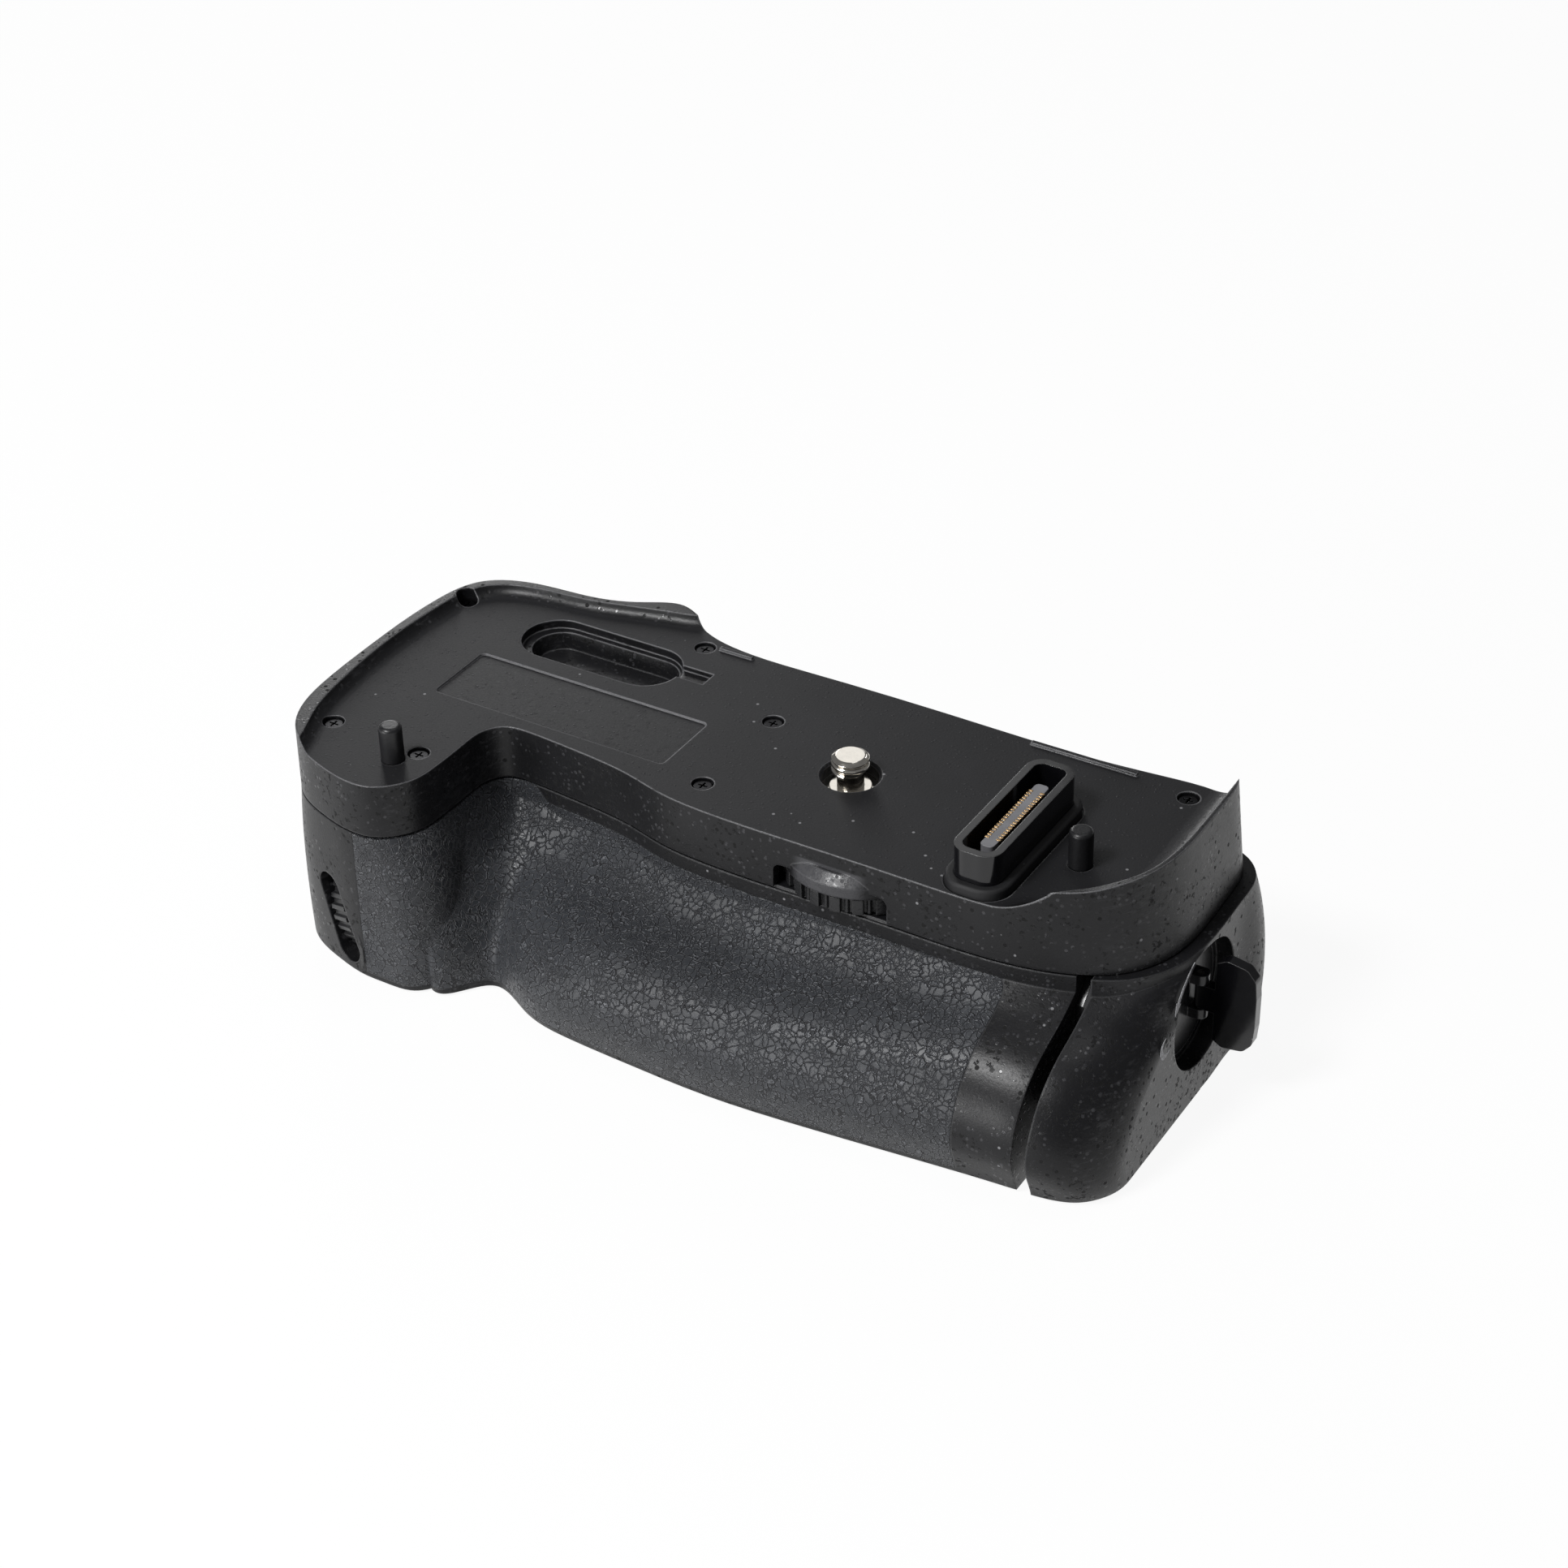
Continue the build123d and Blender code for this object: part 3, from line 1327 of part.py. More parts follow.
# Electronics
def make_main_board():
    top = board_level + board_thickness
    board = block(board_left, board_right, board_front, board_rear, board_level, top)
    board = board + block(shroud_x - seal_width, board_right, shroud_y - seal_length * 3 / 8,
                          board_front, board_level, top)
    board = board - post(wheel_x, wheel_y, wheel_radius + board_clear, board_level, top)
    for x, y in case_screw_places:
        board = board - post(x, y, boss_radius + board_clear / 2, board_level, top)
    chip = top + component_height
    for x_share, y_share, size in chip_shares:
        x = board_left + x_share * (board_right - board_left)
        y = board_front + y_share * (board_rear - board_front)
        board = board + block(x - size / 2, x + size / 2, y - size / 2, y + size / 2, top, chip)
    return board


def make_contact_block():
    base = block(chamber_end - contact_block_depth, chamber_end, contact_front, contact_rear,
                 contact_foot, contact_top)
    return base


def make_chamber_contacts():
    blades = []
    for i in range(blade_count):
        y = contact_front + (contact_rear - contact_front) * (i + 1 / 2) / blade_count
        blades.append(block(chamber_end, chamber_end + blade_spring, y - blade_width / 2,
                            y + blade_width / 2, contact_foot + blade_width,
                            contact_top - blade_width))
    return Compound(children=blades)


def make_tray_contacts():
    pads = []
    for y in tray_contact_places():
        pads.append(block(tray_nose, tray_nose + blade_thickness, y - blade_width, y + blade_width,
                          contact_foot + blade_width, contact_top - blade_width))
    return Compound(children=pads)


def make_tripod_socket():
    bush = post(0, tripod_y, tripod_bush_radius, -base_drop + tripod_flange, tripod_top)
    bush = bush + post(0, tripod_y, tripod_flange_radius, -base_drop, -base_drop + tripod_flange)
    return bush - post(0, tripod_y, tripod_radius, -base_drop, -base_drop + tripod_depth)


def make_wheel_axle():
    return post(wheel_x, wheel_y, wheel_axle_radius, axle_foot, axle_top)


tray_shift = Pos(tray_out, 0, 0)
nodes = {
    "top_shell": make_top_shell(),
    "lower_shell": make_lower_shell(),
    "rubber_grip": make_rubber_grip(),
    "thumb_rubber": make_thumb_rubber(),
    "case_screws": make_case_screws(),
    "locating_pins": make_locating_pins(),
    "connector_shroud": make_connector_shroud(),
    "connector_seal": make_connector_seal(),
    "connector_tongue": make_connector_tongue(),
    "connector_contacts": make_connector_contacts(),
    "mount_screw": make_mount_screw(),
    "screw_gear": make_screw_gear(),
    "screw_retainer": make_screw_retainer(),
    "retainer_screws": make_retainer_screws(),
    "attachment_wheel": make_attachment_wheel(),
    "wheel_axle": make_wheel_axle(),
    "front_dial": front_dial_plane * dial_seat(front_dial_radius, front_dial_proud)
    * toothed_disc(front_dial_radius, front_dial_width),
    "front_dial_axle": front_dial_plane * dial_axle(
        front_dial_radius, front_dial_width, front_dial_proud),
    "rear_dial": rear_dial_plane * dial_seat(rear_dial_radius, rear_dial_proud)
    * toothed_disc(rear_dial_radius, rear_dial_width),
    "rear_dial_axle": rear_dial_plane * dial_axle(
        rear_dial_radius, rear_dial_width, rear_dial_proud),
    "shutter_button": shutter_plane * make_button(shutter_radius, shutter_proud, shutter_travel),
    "shutter_switch": shutter_plane * make_switch(shutter_proud, shutter_travel),
    "shutter_collar": shutter_plane * make_shutter_collar(),
    "lock_ring": shutter_plane * make_lock_ring(),
    "function_button": function_plane * make_button(
        function_radius, function_proud, function_travel),
    "function_switch": function_plane * make_switch(function_proud, function_travel),
    "focus_button": focus_plane * make_button(focus_radius, focus_proud, focus_travel),
    "focus_switch": focus_plane * make_switch(focus_proud, focus_travel),
    "pad_bezel": pad_plane * make_pad_bezel(),
    "gimbal_seat": pad_plane * make_gimbal_seat(),
    "gimbal": pad_plane * make_gimbal(),
    "pad_stick": pad_plane * make_pad_stick(),
    "pad_cap": pad_plane * make_pad_cap(),
    "main_board": make_main_board(),
    "contact_block": make_contact_block(),
    "chamber_contacts": make_chamber_contacts(),
    "tripod_socket": make_tripod_socket(),
    "tray_cap": tray_shift * make_tray_cap(),
    "tray_frame": tray_shift * make_tray_frame(),
    "tray_seal": tray_shift * make_tray_seal(),
    "tray_contacts": tray_shift * make_tray_contacts(),
    "battery_pack": tray_shift * make_battery_pack(),
    "latch_barrel": tray_shift * make_latch_barrel(),
    "latch_wing": tray_shift * make_latch_wing(),
    "wing_pin": tray_shift * post(hinge_x, hinge_y, pin_radius, latch_z - wing_pin_reach,
                                  latch_z + wing_pin_reach),
    "latch_arm": tray_shift * make_latch_arm(),
}

for name, shape in nodes.items():
    export_step(shape, f"parts/{name}.step")
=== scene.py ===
import json
import math

import bmesh
import bpy
from mathutils import Matrix, Vector


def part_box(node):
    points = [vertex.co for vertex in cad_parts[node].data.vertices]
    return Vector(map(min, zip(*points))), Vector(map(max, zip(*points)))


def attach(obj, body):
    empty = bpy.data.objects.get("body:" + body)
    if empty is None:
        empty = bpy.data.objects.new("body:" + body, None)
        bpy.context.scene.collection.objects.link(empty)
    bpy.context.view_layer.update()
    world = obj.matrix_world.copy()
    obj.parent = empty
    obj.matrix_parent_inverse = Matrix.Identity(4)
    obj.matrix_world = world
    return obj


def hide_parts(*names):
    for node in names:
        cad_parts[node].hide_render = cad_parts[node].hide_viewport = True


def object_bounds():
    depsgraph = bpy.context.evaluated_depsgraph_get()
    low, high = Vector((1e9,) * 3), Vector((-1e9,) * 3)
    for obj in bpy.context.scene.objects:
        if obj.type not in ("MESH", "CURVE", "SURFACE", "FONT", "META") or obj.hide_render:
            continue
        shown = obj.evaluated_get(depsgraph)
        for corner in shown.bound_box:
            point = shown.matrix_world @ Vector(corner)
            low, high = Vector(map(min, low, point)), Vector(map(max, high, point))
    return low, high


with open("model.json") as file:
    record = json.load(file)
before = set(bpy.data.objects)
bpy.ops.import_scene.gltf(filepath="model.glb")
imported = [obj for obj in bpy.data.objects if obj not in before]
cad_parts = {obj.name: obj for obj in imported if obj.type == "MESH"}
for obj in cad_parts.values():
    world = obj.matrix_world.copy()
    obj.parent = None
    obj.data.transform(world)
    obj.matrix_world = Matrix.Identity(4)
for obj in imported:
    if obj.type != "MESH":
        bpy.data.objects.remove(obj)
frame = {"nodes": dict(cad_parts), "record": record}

cad_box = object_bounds()
nodes = frame["nodes"]
MM = 0.001


# Sizes in millimetres, in the frame of the part
# The screw's skin as (radius, height), from the foot of its pivot to its flat top
screw_profile = [
    (0, -5.0), (1.3, -5.0), (1.3, -2.95), (5.3, -2.95), (5.3, -2.45), (3.4, -2.45), (3.4, -1.9),
    (2.2, -1.9), (2.2, 0.7), (2.55, 0.95), (2.62, 3.0), (3.05, 3.16), (3.05, 3.28), (2.42, 3.76),
    (2.34, 3.8), (0, 3.8),
]
screw_facets = 64
thread_radius = 3.175
thread_pitch = 1.27
thread_turns = 1.75
thread_low = 1.05
thread_start_degrees = -80.0
thread_ridge = 0.5
ridge_facets = 14
turn_facets = 48
flat_share = 0.95
sharp_degrees = 38

contact_count = 20
contact_width = 0.42
contact_depth = 0.7
contact_proud = 0.06

# The end face of the tray's cap, the latch's axis on it as (y, z), and the marks
cap_face = 63.35
latch_middle = (-0.3, -21.6)
ink_proud = 0.03
ink_sunk = 0.02
arrow_radius = 12.3
arrow_first_degrees = 24
arrow_last_degrees = 66
arrow_head_degrees = 10
arrow_tail_width = 0.25
arrow_neck_width = 0.9
arrow_head_width = 2.1
arrow_steps = 14
crescent_radius = 14.2
crescent_degrees = 86
crescent_outer = 1.9
crescent_inner = 1.6
crescent_offset = 0.75
crescent_turn_degrees = 35
crescent_steps = 18

# Places and sizes in metres
hood_middle = (0.0082, -0.0094)
facet_below = 0.0118
rim_fades = (-0.005, -0.001)
plate_from = (-0.0006, -0.0002)
plate_to = (0.0002, 0.0008)
facet_reach = (0.0028, 0.0042)
facet_top = (-0.0027, -0.0022)

rubber_warp_reach = 0.0021

# Radii of the softened edges and depths of the relief, in metres
case_edge = 0.00045
moulded_edge = 0.00025
rubber_edge = 0.0005
gloss_edge = 0.00022
seal_edge = 0.0003
metal_edge = 0.00012
case_relief = 0.00007
rubber_relief = 0.00024
gloss_relief = 0.00003
seal_relief = 0.00004
board_relief = 0.00003
ink_relief = 0.00001

# Grains per metre, and the lean of the streaks in radians
case_stipple = 2600
case_crumbs = 1150
case_dust = 420
streak_grain = (500.0, 420.0, 1500.0)
streak_lean = (0.9, 0.0, 0.0)
rubber_islands = 780
rubber_wrinkles = 1400
rubber_warp = 520.0
tool_lines = (300.0, 300.0, 7000.0)

# Roughness, and colours in linear light
case_roughness = 0.36
case_dark = (0.0062, 0.0062, 0.0070)
case_light = (0.0098, 0.0098, 0.0110)
case_plate = (0.016, 0.016, 0.018)
case_pit = (0.002, 0.002, 0.002)
# Painted glints of the wall specks, and the scratch streaks on the end faces
case_painted_glint_and_scratch = (0.07, 0.07, 0.075)
# Painted sheen on the hood's oval facet
case_hood_sheen = (0.075, 0.075, 0.08)
# Rubbed wear, dust specks, and the painted highlight along edges
case_wear_dust_and_edge_highlight = (0.24, 0.24, 0.25)
rubber_dark = (0.018, 0.0195, 0.023)
rubber_light = (0.027, 0.0295, 0.0345)
# Painted shade in the rubber's creases
rubber_crease_shade = (0.004, 0.004, 0.006)
# Painted highlight on the rubber's raised rims
rubber_rim_highlight = (0.12, 0.125, 0.137)
rubber_grime = (0.13, 0.13, 0.13)
# Dust, wear and the painted highlight along the edges of polished black
gloss_dust_wear_and_highlight = (0.25, 0.25, 0.25)
seal_dark = (0.008, 0.008, 0.009)
seal_light = (0.02, 0.02, 0.021)
seal_dust = (0.15, 0.15, 0.16)
board_gap = (0.02, 0.12, 0.05)
board_track = (0.01, 0.055, 0.025)
ink_worn = (0.22, 0.22, 0.23)
ink_full = (0.5, 0.5, 0.52)

# Camera, floor and light
camera_lens = 73.83
camera_sensor = 36.0
camera_place = (0.2169, -0.3677, 0.2844)
camera_right = (0.8551, 0.5181, -0.0197)
camera_forward = (-0.4398, 0.7048, -0.5566)
floor_half = 40.0
floor_gap = 0.0002
floor_grey = (0.55, 0.55, 0.55)
floor_white = (1.0, 1.0, 1.0)
floor_glow = 1.07
floor_glow_share = 0.86
world_colour = (0.97, 0.98, 1.0, 1)
world_light = 0.14
middle = (0, 0, 0)
below_middle = (0, 0, -0.02)
left_of_middle = (-0.03, 0, 0)
lamps = [
    ("key_softbox", (-0.30, -0.70, 1.0), below_middle, (0.3, 0.3), 12.5),
    ("overhead_softbox", (0.1, 0.25, 1.15), middle, (0.4, 0.4), 1.2),
    ("rear_strip", (-0.85, 0.9, 0.42), left_of_middle, (0.25, 0.6), 2.6),
    ("rear_card", (-0.57, 0.91, 0.73), middle, (0.3, 0.3), 0.26),
    ("front_card", (-0.45, -0.95, 0.12), below_middle, (0.55, 0.3), 5.5),
]


# Shader maths: a socket that takes part in Python expressions
class Socket:
    def __init__(self, graph, socket):
        self.graph = graph
        self.socket = socket

    def maths(self, operation, first, second):
        return self.graph.node("ShaderNodeMath", {"operation": operation}, [first, second])

    def __add__(self, other):
        return self.maths("ADD", self, other)

    __radd__ = __add__

    def __sub__(self, other):
        return self.maths("SUBTRACT", self, other)

    def __rsub__(self, other):
        return self.maths("SUBTRACT", other, self)

    def __mul__(self, other):
        return self.maths("MULTIPLY", self, other)

    __rmul__ = __mul__

    def __pow__(self, other):
        return self.maths("POWER", self, other)

    def __rpow__(self, other):
        return self.maths("POWER", other, self)

    def over(self, other):
        return self.maths("GREATER_THAN", self, other)

    def least(self, other):
        return self.maths("MINIMUM", self, other)

    def most(self, other):
        return self.maths("MAXIMUM", self, other)

    def step(self, low, high, start=0.0, end=1.0):
        """A soft step from start to end while this value goes from low to high."""
        return self.graph.node(
            "ShaderNodeMapRange", {"interpolation_type": "SMOOTHSTEP"},
            {"Value": self, "From Min": low, "From Max": high, "To Min": start, "To Max": end}
        )


class Graph:
    """A material's nodes, all laid out in the part's own coordinates."""

    def __init__(self, name):
        self.material = bpy.data.materials.new(name)
        self.material.use_nodes = True
        self.tree = self.material.node_tree
        self.tree.nodes.clear()
        self.place = self.node("ShaderNodeTexCoord", {}, {}, "Object")

    def node(self, kind, settings, inputs, output=0):
        made = self.tree.nodes.new(kind)
        for key, value in settings.items():
            setattr(made, key, value)
        pairs = inputs.items() if isinstance(inputs, dict) else enumerate(inputs)
        for key, value in pairs:
            target = made.inputs[key]
            if isinstance(value, Socket):
                self.tree.links.new(value.socket, target)
            elif target.type == "RGBA":
                target.default_value = (*value, 1)
            else:
                target.default_value = value
        return Socket(self, made.outputs[output])

    def noise(self, scale, detail=2.0, rough=0.5, place=None):
        return self.node(
            "ShaderNodeTexNoise", {},
            {"Vector": place or self.place, "Scale": scale, "Detail": detail, "Roughness": rough}
        )

    def cells(self, scale, feature="F1", place=None, output="Distance"):
        return self.node(
            "ShaderNodeTexVoronoi", {"feature": feature},
            {"Vector": place or self.place, "Scale": scale}, output
        )

    def mapped(self, **inputs):
        return self.node("ShaderNodeMapping", {"vector_type": "POINT"},
                         {"Vector": self.place, **inputs})

    def blend(self, share, first, second):
        """Two colours, which are sockets 6 and 7 of the mix node, mixed into its output 2."""
        return self.node("ShaderNodeMix", {"data_type": "RGBA"}, {0: share, 6: first, 7: second}, 2)

    def bump(self, height, depth, normal=None):
        inputs = {"Height": height, "Distance": depth, "Strength": 1.0}
        if normal:
            inputs["Normal"] = normal
        return self.node("ShaderNodeBump", {}, inputs)

    def rounded(self, radius):
        return self.node("ShaderNodeBevel", {"samples": 5}, {"Radius": radius})

    def edge_lean(self, soft):
        """How far the softened surface leans from the true one: 1 along a sharp edge."""
        flat = self.node("ShaderNodeNewGeometry", {}, {}, "Normal")
        lean = self.node("ShaderNodeVectorMath", {"operation": "DOT_PRODUCT"}, [soft, flat], "Value")
        return 1.0 - lean.step(0.8, 0.99)

    def axis(self, name):
        return self.node("ShaderNodeSeparateXYZ", {}, [self.place], name)

    def facing(self, name):
        side = self.node("ShaderNodeTexCoord", {}, {}, "Normal")
        return self.node("ShaderNodeSeparateXYZ", {}, [side], name)

    def specks(self, scale, size, share):
        """Single small spots, each inside its own cell, in a share of the cells."""
        spot = 1.0 - self.cells(scale).step(size * 0.7, size)
        pick = self.node("ShaderNodeSeparateColor", {}, [self.cells(scale, output="Color")], "Red")
        return spot * pick.over(1.0 - share)

    def flecks(self, scale, share, patch):
        """Irregular marks that gather in patches."""
        marks = self.noise(scale, 3, 0.65).step(1.0 - share, 1.04 - share)
        return marks * self.noise(patch, 2).step(0.42, 0.6)

    def output(self, socket):
        end = self.tree.nodes.new("ShaderNodeOutputMaterial")
        self.tree.links.new(socket.socket, end.inputs["Surface"])
        return self.material

    def finish(self, **inputs):
        named = {key.replace("_", " "): value for key, value in inputs.items()}
        return self.output(self.node("ShaderNodeBsdfPrincipled", {}, named))


def case_plastic(name, hood=None):
    """Spark-eroded black moulding: matte plate, smoother walls with flecks and painted glints, edges
    lightened by rubbing and a painted edge highlight.
    """
    g = Graph(name)
    soft = g.rounded(case_edge)
    height = g.axis("Z")
    # Edge mask: its lighter colour is partly rubbed wear and partly a painted edge highlight, weaker
    # lower down the walls
    edge = g.edge_lean(soft) * g.noise(700, 3).step(0.2, 0.42) * height.step(*rim_fades, 0.25, 1.0)
    upward = g.facing("Z").step(0.9, 0.97)
    plate = upward * height.step(*plate_from) * (1.0 - height.step(*plate_to))
    side = 1.0 - plate
    end = g.facing("X").step(0.45, 0.75)
    stipple = g.noise(case_stipple, 2, 0.6)
    crumbs = g.specks(case_crumbs, 0.3, 0.3)
    dark = (g.flecks(1000, 0.42, 120) + g.specks(900, 0.36, 0.12)).least(1.0) * side
    # Light specks and flecks on the walls: painted glints, standing in for highlights on tiny facets
    bright = g.specks(1250, 0.42, 0.25) * g.noise(170, 2).step(0.42, 0.58)
    light = bright.most(g.flecks(1500, 0.38, 210) * 0.8) * side
    lie = g.mapped(Rotation=streak_lean, Scale=streak_grain)
    streaks = g.noise(1.0, 3, 0.65, lie).step(0.5, 0.72) * end
    dust = g.specks(case_dust, 0.12, 0.1)
    tone = g.noise(75, 3)
    shade = g.blend(tone.step(0.3, 0.7), case_dark, case_light)
    shade = g.blend(plate * 0.4 + crumbs * plate * 0.3, shade, case_plate)
    shade = g.blend(dark * 0.9, shade, case_pit)
    # Painted glints, and real scratch streaks on the end faces
    shade = g.blend(light * 0.5 + streaks * 0.3, shade, case_painted_glint_and_scratch)
    sparkle = light
    # The hood's oval facet is painted lighter grey: a painted sheen standing in for its highlight
    if hood:
        x, y = g.axis("X") - hood[0], g.axis("Y") - hood[1]
        down = y + facet_below
        reach = (x * x * 0.35 + down * down * 2.2) ** 0.5
        facet = (1.0 - reach.step(*facet_reach)) * (1.0 - height.step(*facet_top))
        sparkle = light.most(facet * g.noise(1300, 3).step(0.4, 0.65))
        shade = g.blend(facet * 0.7, shade, case_hood_sheen)
    # Dust specks, and edges painted lighter: rubbed wear and a painted edge highlight
    shade = g.blend((edge * 0.9 + dust * 0.8).least(1.0), shade, case_wear_dust_and_edge_highlight)
    matte = case_roughness + plate * 0.18 + dark * 0.35
    rough = matte - sparkle * 0.2 + (stipple - 0.5) * 0.14 - edge * 0.1
    relief = stipple * 0.35 + crumbs * 0.5 * plate - dark * 0.3 + light * 0.25
    return g.finish(Base_Color=shade, Roughness=rough.most(0.1),
                    Normal=g.bump(relief, case_relief, soft), Specular_IOR_Level=0.28)


def moulded_black(name, colour, roughness, stipple=0.00003, edge_shade=0.1):
    """Finely stippled moulding with softened edges, lightened by slight rubbing and a painted edge
    highlight.
    """
    g = Graph(name)
    soft = g.rounded(moulded_edge)
    edge = g.edge_lean(soft) * g.noise(900, 2).step(0.3, 0.6)
    fine = g.noise(2400, 2, 0.6)
    blotch = g.noise(110, 3)
    dust = g.specks(600, 0.14, 0.12)
    shade = g.blend(blotch.step(0.35, 0.7), colour, tuple(c * 1.35 for c in colour))
    # Dust specks, and edges painted lighter: slight rubbing and a painted edge highlight
    shade = g.blend(edge * 0.5 + dust * 0.6, shade, (edge_shade, edge_shade, edge_shade))
    rough = roughness + (fine - 0.5) * 0.14 + (blotch - 0.5) * 0.08 - edge * 0.08
    return g.finish(Base_Color=shade, Roughness=rough, Normal=g.bump(fine, stipple, soft),
                    Specular_IOR_Level=0.4)


def grip_rubber(name):
    """Leather-grained rubber: flat islands with slightly raised rims and fine creases between;
    painted shade darkens the creases and a painted highlight lights the rims.
    """
    g = Graph(name)
    soft = g.rounded(rubber_edge)
    warp = g.node("ShaderNodeTexNoise", {},
                  {"Vector": g.place, "Scale": rubber_warp, "Detail": 4.0}, "Color")
    shift = g.node("ShaderNodeVectorMath", {"operation": "SCALE"},
                   {0: warp, "Scale": rubber_warp_reach})
    place = g.node("ShaderNodeVectorMath", {"operation": "ADD"}, [g.place, shift])
    island = g.cells(rubber_islands, "DISTANCE_TO_EDGE", place)
    wrinkle = g.cells(rubber_wrinkles, "DISTANCE_TO_EDGE", place)
    fading = g.noise(300, 2).step(0.35, 0.6)
    crease = (1.0 - island.step(0.01, 0.09)) * (0.7 + fading * 0.3)
    hair = (1.0 - wrinkle.step(0.015, 0.1)) * (1.0 - fading) * 0.55
    rim = island.step(0.04, 0.09) * (1.0 - island.step(0.1, 0.16))
    cut = crease.most(hair)
    grime = g.specks(700, 0.13, 0.12)
    tone = g.noise(60, 3)
    micro = g.noise(4200, 2)
    shade = g.blend(tone.step(0.3, 0.7), rubber_dark, rubber_light)
    # Painted shade: the creases and fine wrinkles are darkened
    shade = g.blend(cut * 0.85, shade, rubber_crease_shade)
    # Painted highlight: the raised rims along the creases are painted light
    shade = g.blend(rim * 0.65, shade, rubber_rim_highlight)
    shade = g.blend(grime * 0.7, shade, rubber_grime)
    rough = 0.43 + cut * 0.2 - rim * 0.12 + (micro - 0.5) * 0.12 + (tone - 0.5) * 0.1
    relief = rim * 0.3 - cut + micro * 0.04
    return g.finish(Base_Color=shade, Roughness=rough,
                    Normal=g.bump(relief, rubber_relief, soft), Specular_IOR_Level=0.5)


def gloss_black(name, colour, roughness):
    """Polished black with a few dust grains, faint ripples from the mould, and edges lightened by
    wear and a painted edge highlight.
    """
    g = Graph(name)
    soft = g.rounded(gloss_edge)
    edge = g.edge_lean(soft)
    dust = g.specks(520, 0.12, 0.12)
    ripple = g.noise(240, 2)
    # Dust grains, and edges painted lighter: wear and a painted edge highlight
    shade = g.blend((dust * 0.8 + edge * 0.35).least(1.0), colour, gloss_dust_wear_and_highlight)
    rough = roughness + dust * 0.3 + (ripple - 0.5) * 0.06 + edge * 0.04
    return g.finish(Base_Color=shade, Roughness=rough, Coat_Weight=0.2 + ripple * 0.1,
                    Coat_Roughness=0.08, Normal=g.bump(ripple, gloss_relief, soft),
                    Specular_IOR_Level=0.4)


def seal_rubber(name):
    """Soft black rubber, powdered with fine dust."""
    g = Graph(name)
    soft = g.rounded(seal_edge)
    dust = g.specks(900, 0.2, 0.25) * g.noise(160, 2).step(0.4, 0.65)
    cloud = g.noise(500, 3)
    shade = g.blend(cloud * 0.6, seal_dark, seal_light)
    shade = g.blend(dust * 0.8, shade, seal_dust)
    return g.finish(Base_Color=shade, Roughness=0.62 + (cloud - 0.5) * 0.2,
                    Normal=g.bump(cloud, seal_relief, soft), Specular_IOR_Level=0.35)


def metal(name, colour, roughness, lines=0.000012, dark=0.8):
    """Turned or plated metal: fine tool lines round the axis and a slightly uneven tone."""
    g = Graph(name)
    soft = g.rounded(metal_edge)
    cut = g.noise(1.0, 2, 0.5, g.mapped(Scale=tool_lines))
    tone = g.noise(800, 2)
    shade = g.blend(tone.step(0.3, 0.7), tuple(c * dark for c in colour), colour)
    rough = roughness + (cut - 0.5) * 0.1 + (tone - 0.5) * 0.08
    return g.finish(Base_Color=shade, Metallic=1.0, Roughness=rough,
                    Normal=g.bump(cut, lines, soft))


def circuit_board(name):
    """Green coated board with darker gaps between its copper areas."""
    g = Graph(name)
    tracks = g.cells(420, "DISTANCE_TO_EDGE").step(0.02, 0.06)
    return g.finish(Base_Color=g.blend(tracks, board_gap, board_track),
                    Roughness=0.4 + tracks * 0.1, Normal=g.bump(tracks, board_relief))


def print_grey(name):
    """Pale grey ink, thin in places where it has worn."""
    g = Graph(name)
    full = g.noise(1800, 3).step(0.35, 0.65)
    return g.finish(Base_Color=g.blend(full, ink_worn, ink_full), Roughness=0.5 + full * 0.1,
                    Normal=g.bump(full, ink_relief))


finishes = {
    "housing": case_plastic("case_plastic"),
    "grip_rubber": grip_rubber("grip_rubber"),
    "black_screws": metal("blackened_screws", (0.02, 0.02, 0.022), 0.32),
    "black_pins": moulded_black("pin_black", (0.009, 0.009, 0.010), 0.36, edge_shade=0.06),
    "gloss_black": gloss_black("gloss_black", (0.004, 0.004, 0.005), 0.15),
    "seal_rubber": seal_rubber("seal_rubber"),
    "inner_plastic": moulded_black("inner_plastic", (0.02, 0.02, 0.021), 0.42),
    "gold_contacts": metal("gold_contacts", (0.62, 0.42, 0.22), 0.26),
    "polished_steel": metal("nickelled_steel", (0.82, 0.78, 0.71), 0.12, 0.000006, 0.93),
    "gear_brass": metal("gear_brass", (0.7, 0.52, 0.25), 0.3),
    "wheel_black": moulded_black("wheel_black", (0.012, 0.012, 0.013), 0.28),
    "dial_black": moulded_black("dial_black", (0.014, 0.014, 0.015), 0.34),
    "board_green": circuit_board("circuit_board"),
    "battery_case": moulded_black("battery_case", (0.06, 0.06, 0.065), 0.4),
    "latch_black": moulded_black("latch_black", (0.012, 0.012, 0.013), 0.3, 0.00002),
}
slot_of = {s["node"]: s["material_slot"] for s in frame["record"]["subparts"]}
own_finish = {
    "top_shell": case_plastic("upper_case_plastic", hood_middle),
    "tray_frame": gloss_black("tray_black", (0.02, 0.02, 0.021), 0.2),
    "connector_tongue": moulded_black("tongue_grey", (0.16, 0.16, 0.17), 0.3, 0.00002, 0.5),
}
for name, obj in nodes.items():
    obj.data.materials.clear()
    obj.data.materials.append(own_finish.get(name, finishes[slot_of[name]]))


# Pieces that the scene makes
def add_piece(name, mesh, finish, body):
    piece = bpy.data.objects.new(name, mesh)
    bpy.context.scene.collection.objects.link(piece)
    mesh.materials.clear()
    mesh.materials.append(finish)
    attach(piece, body)
    return piece


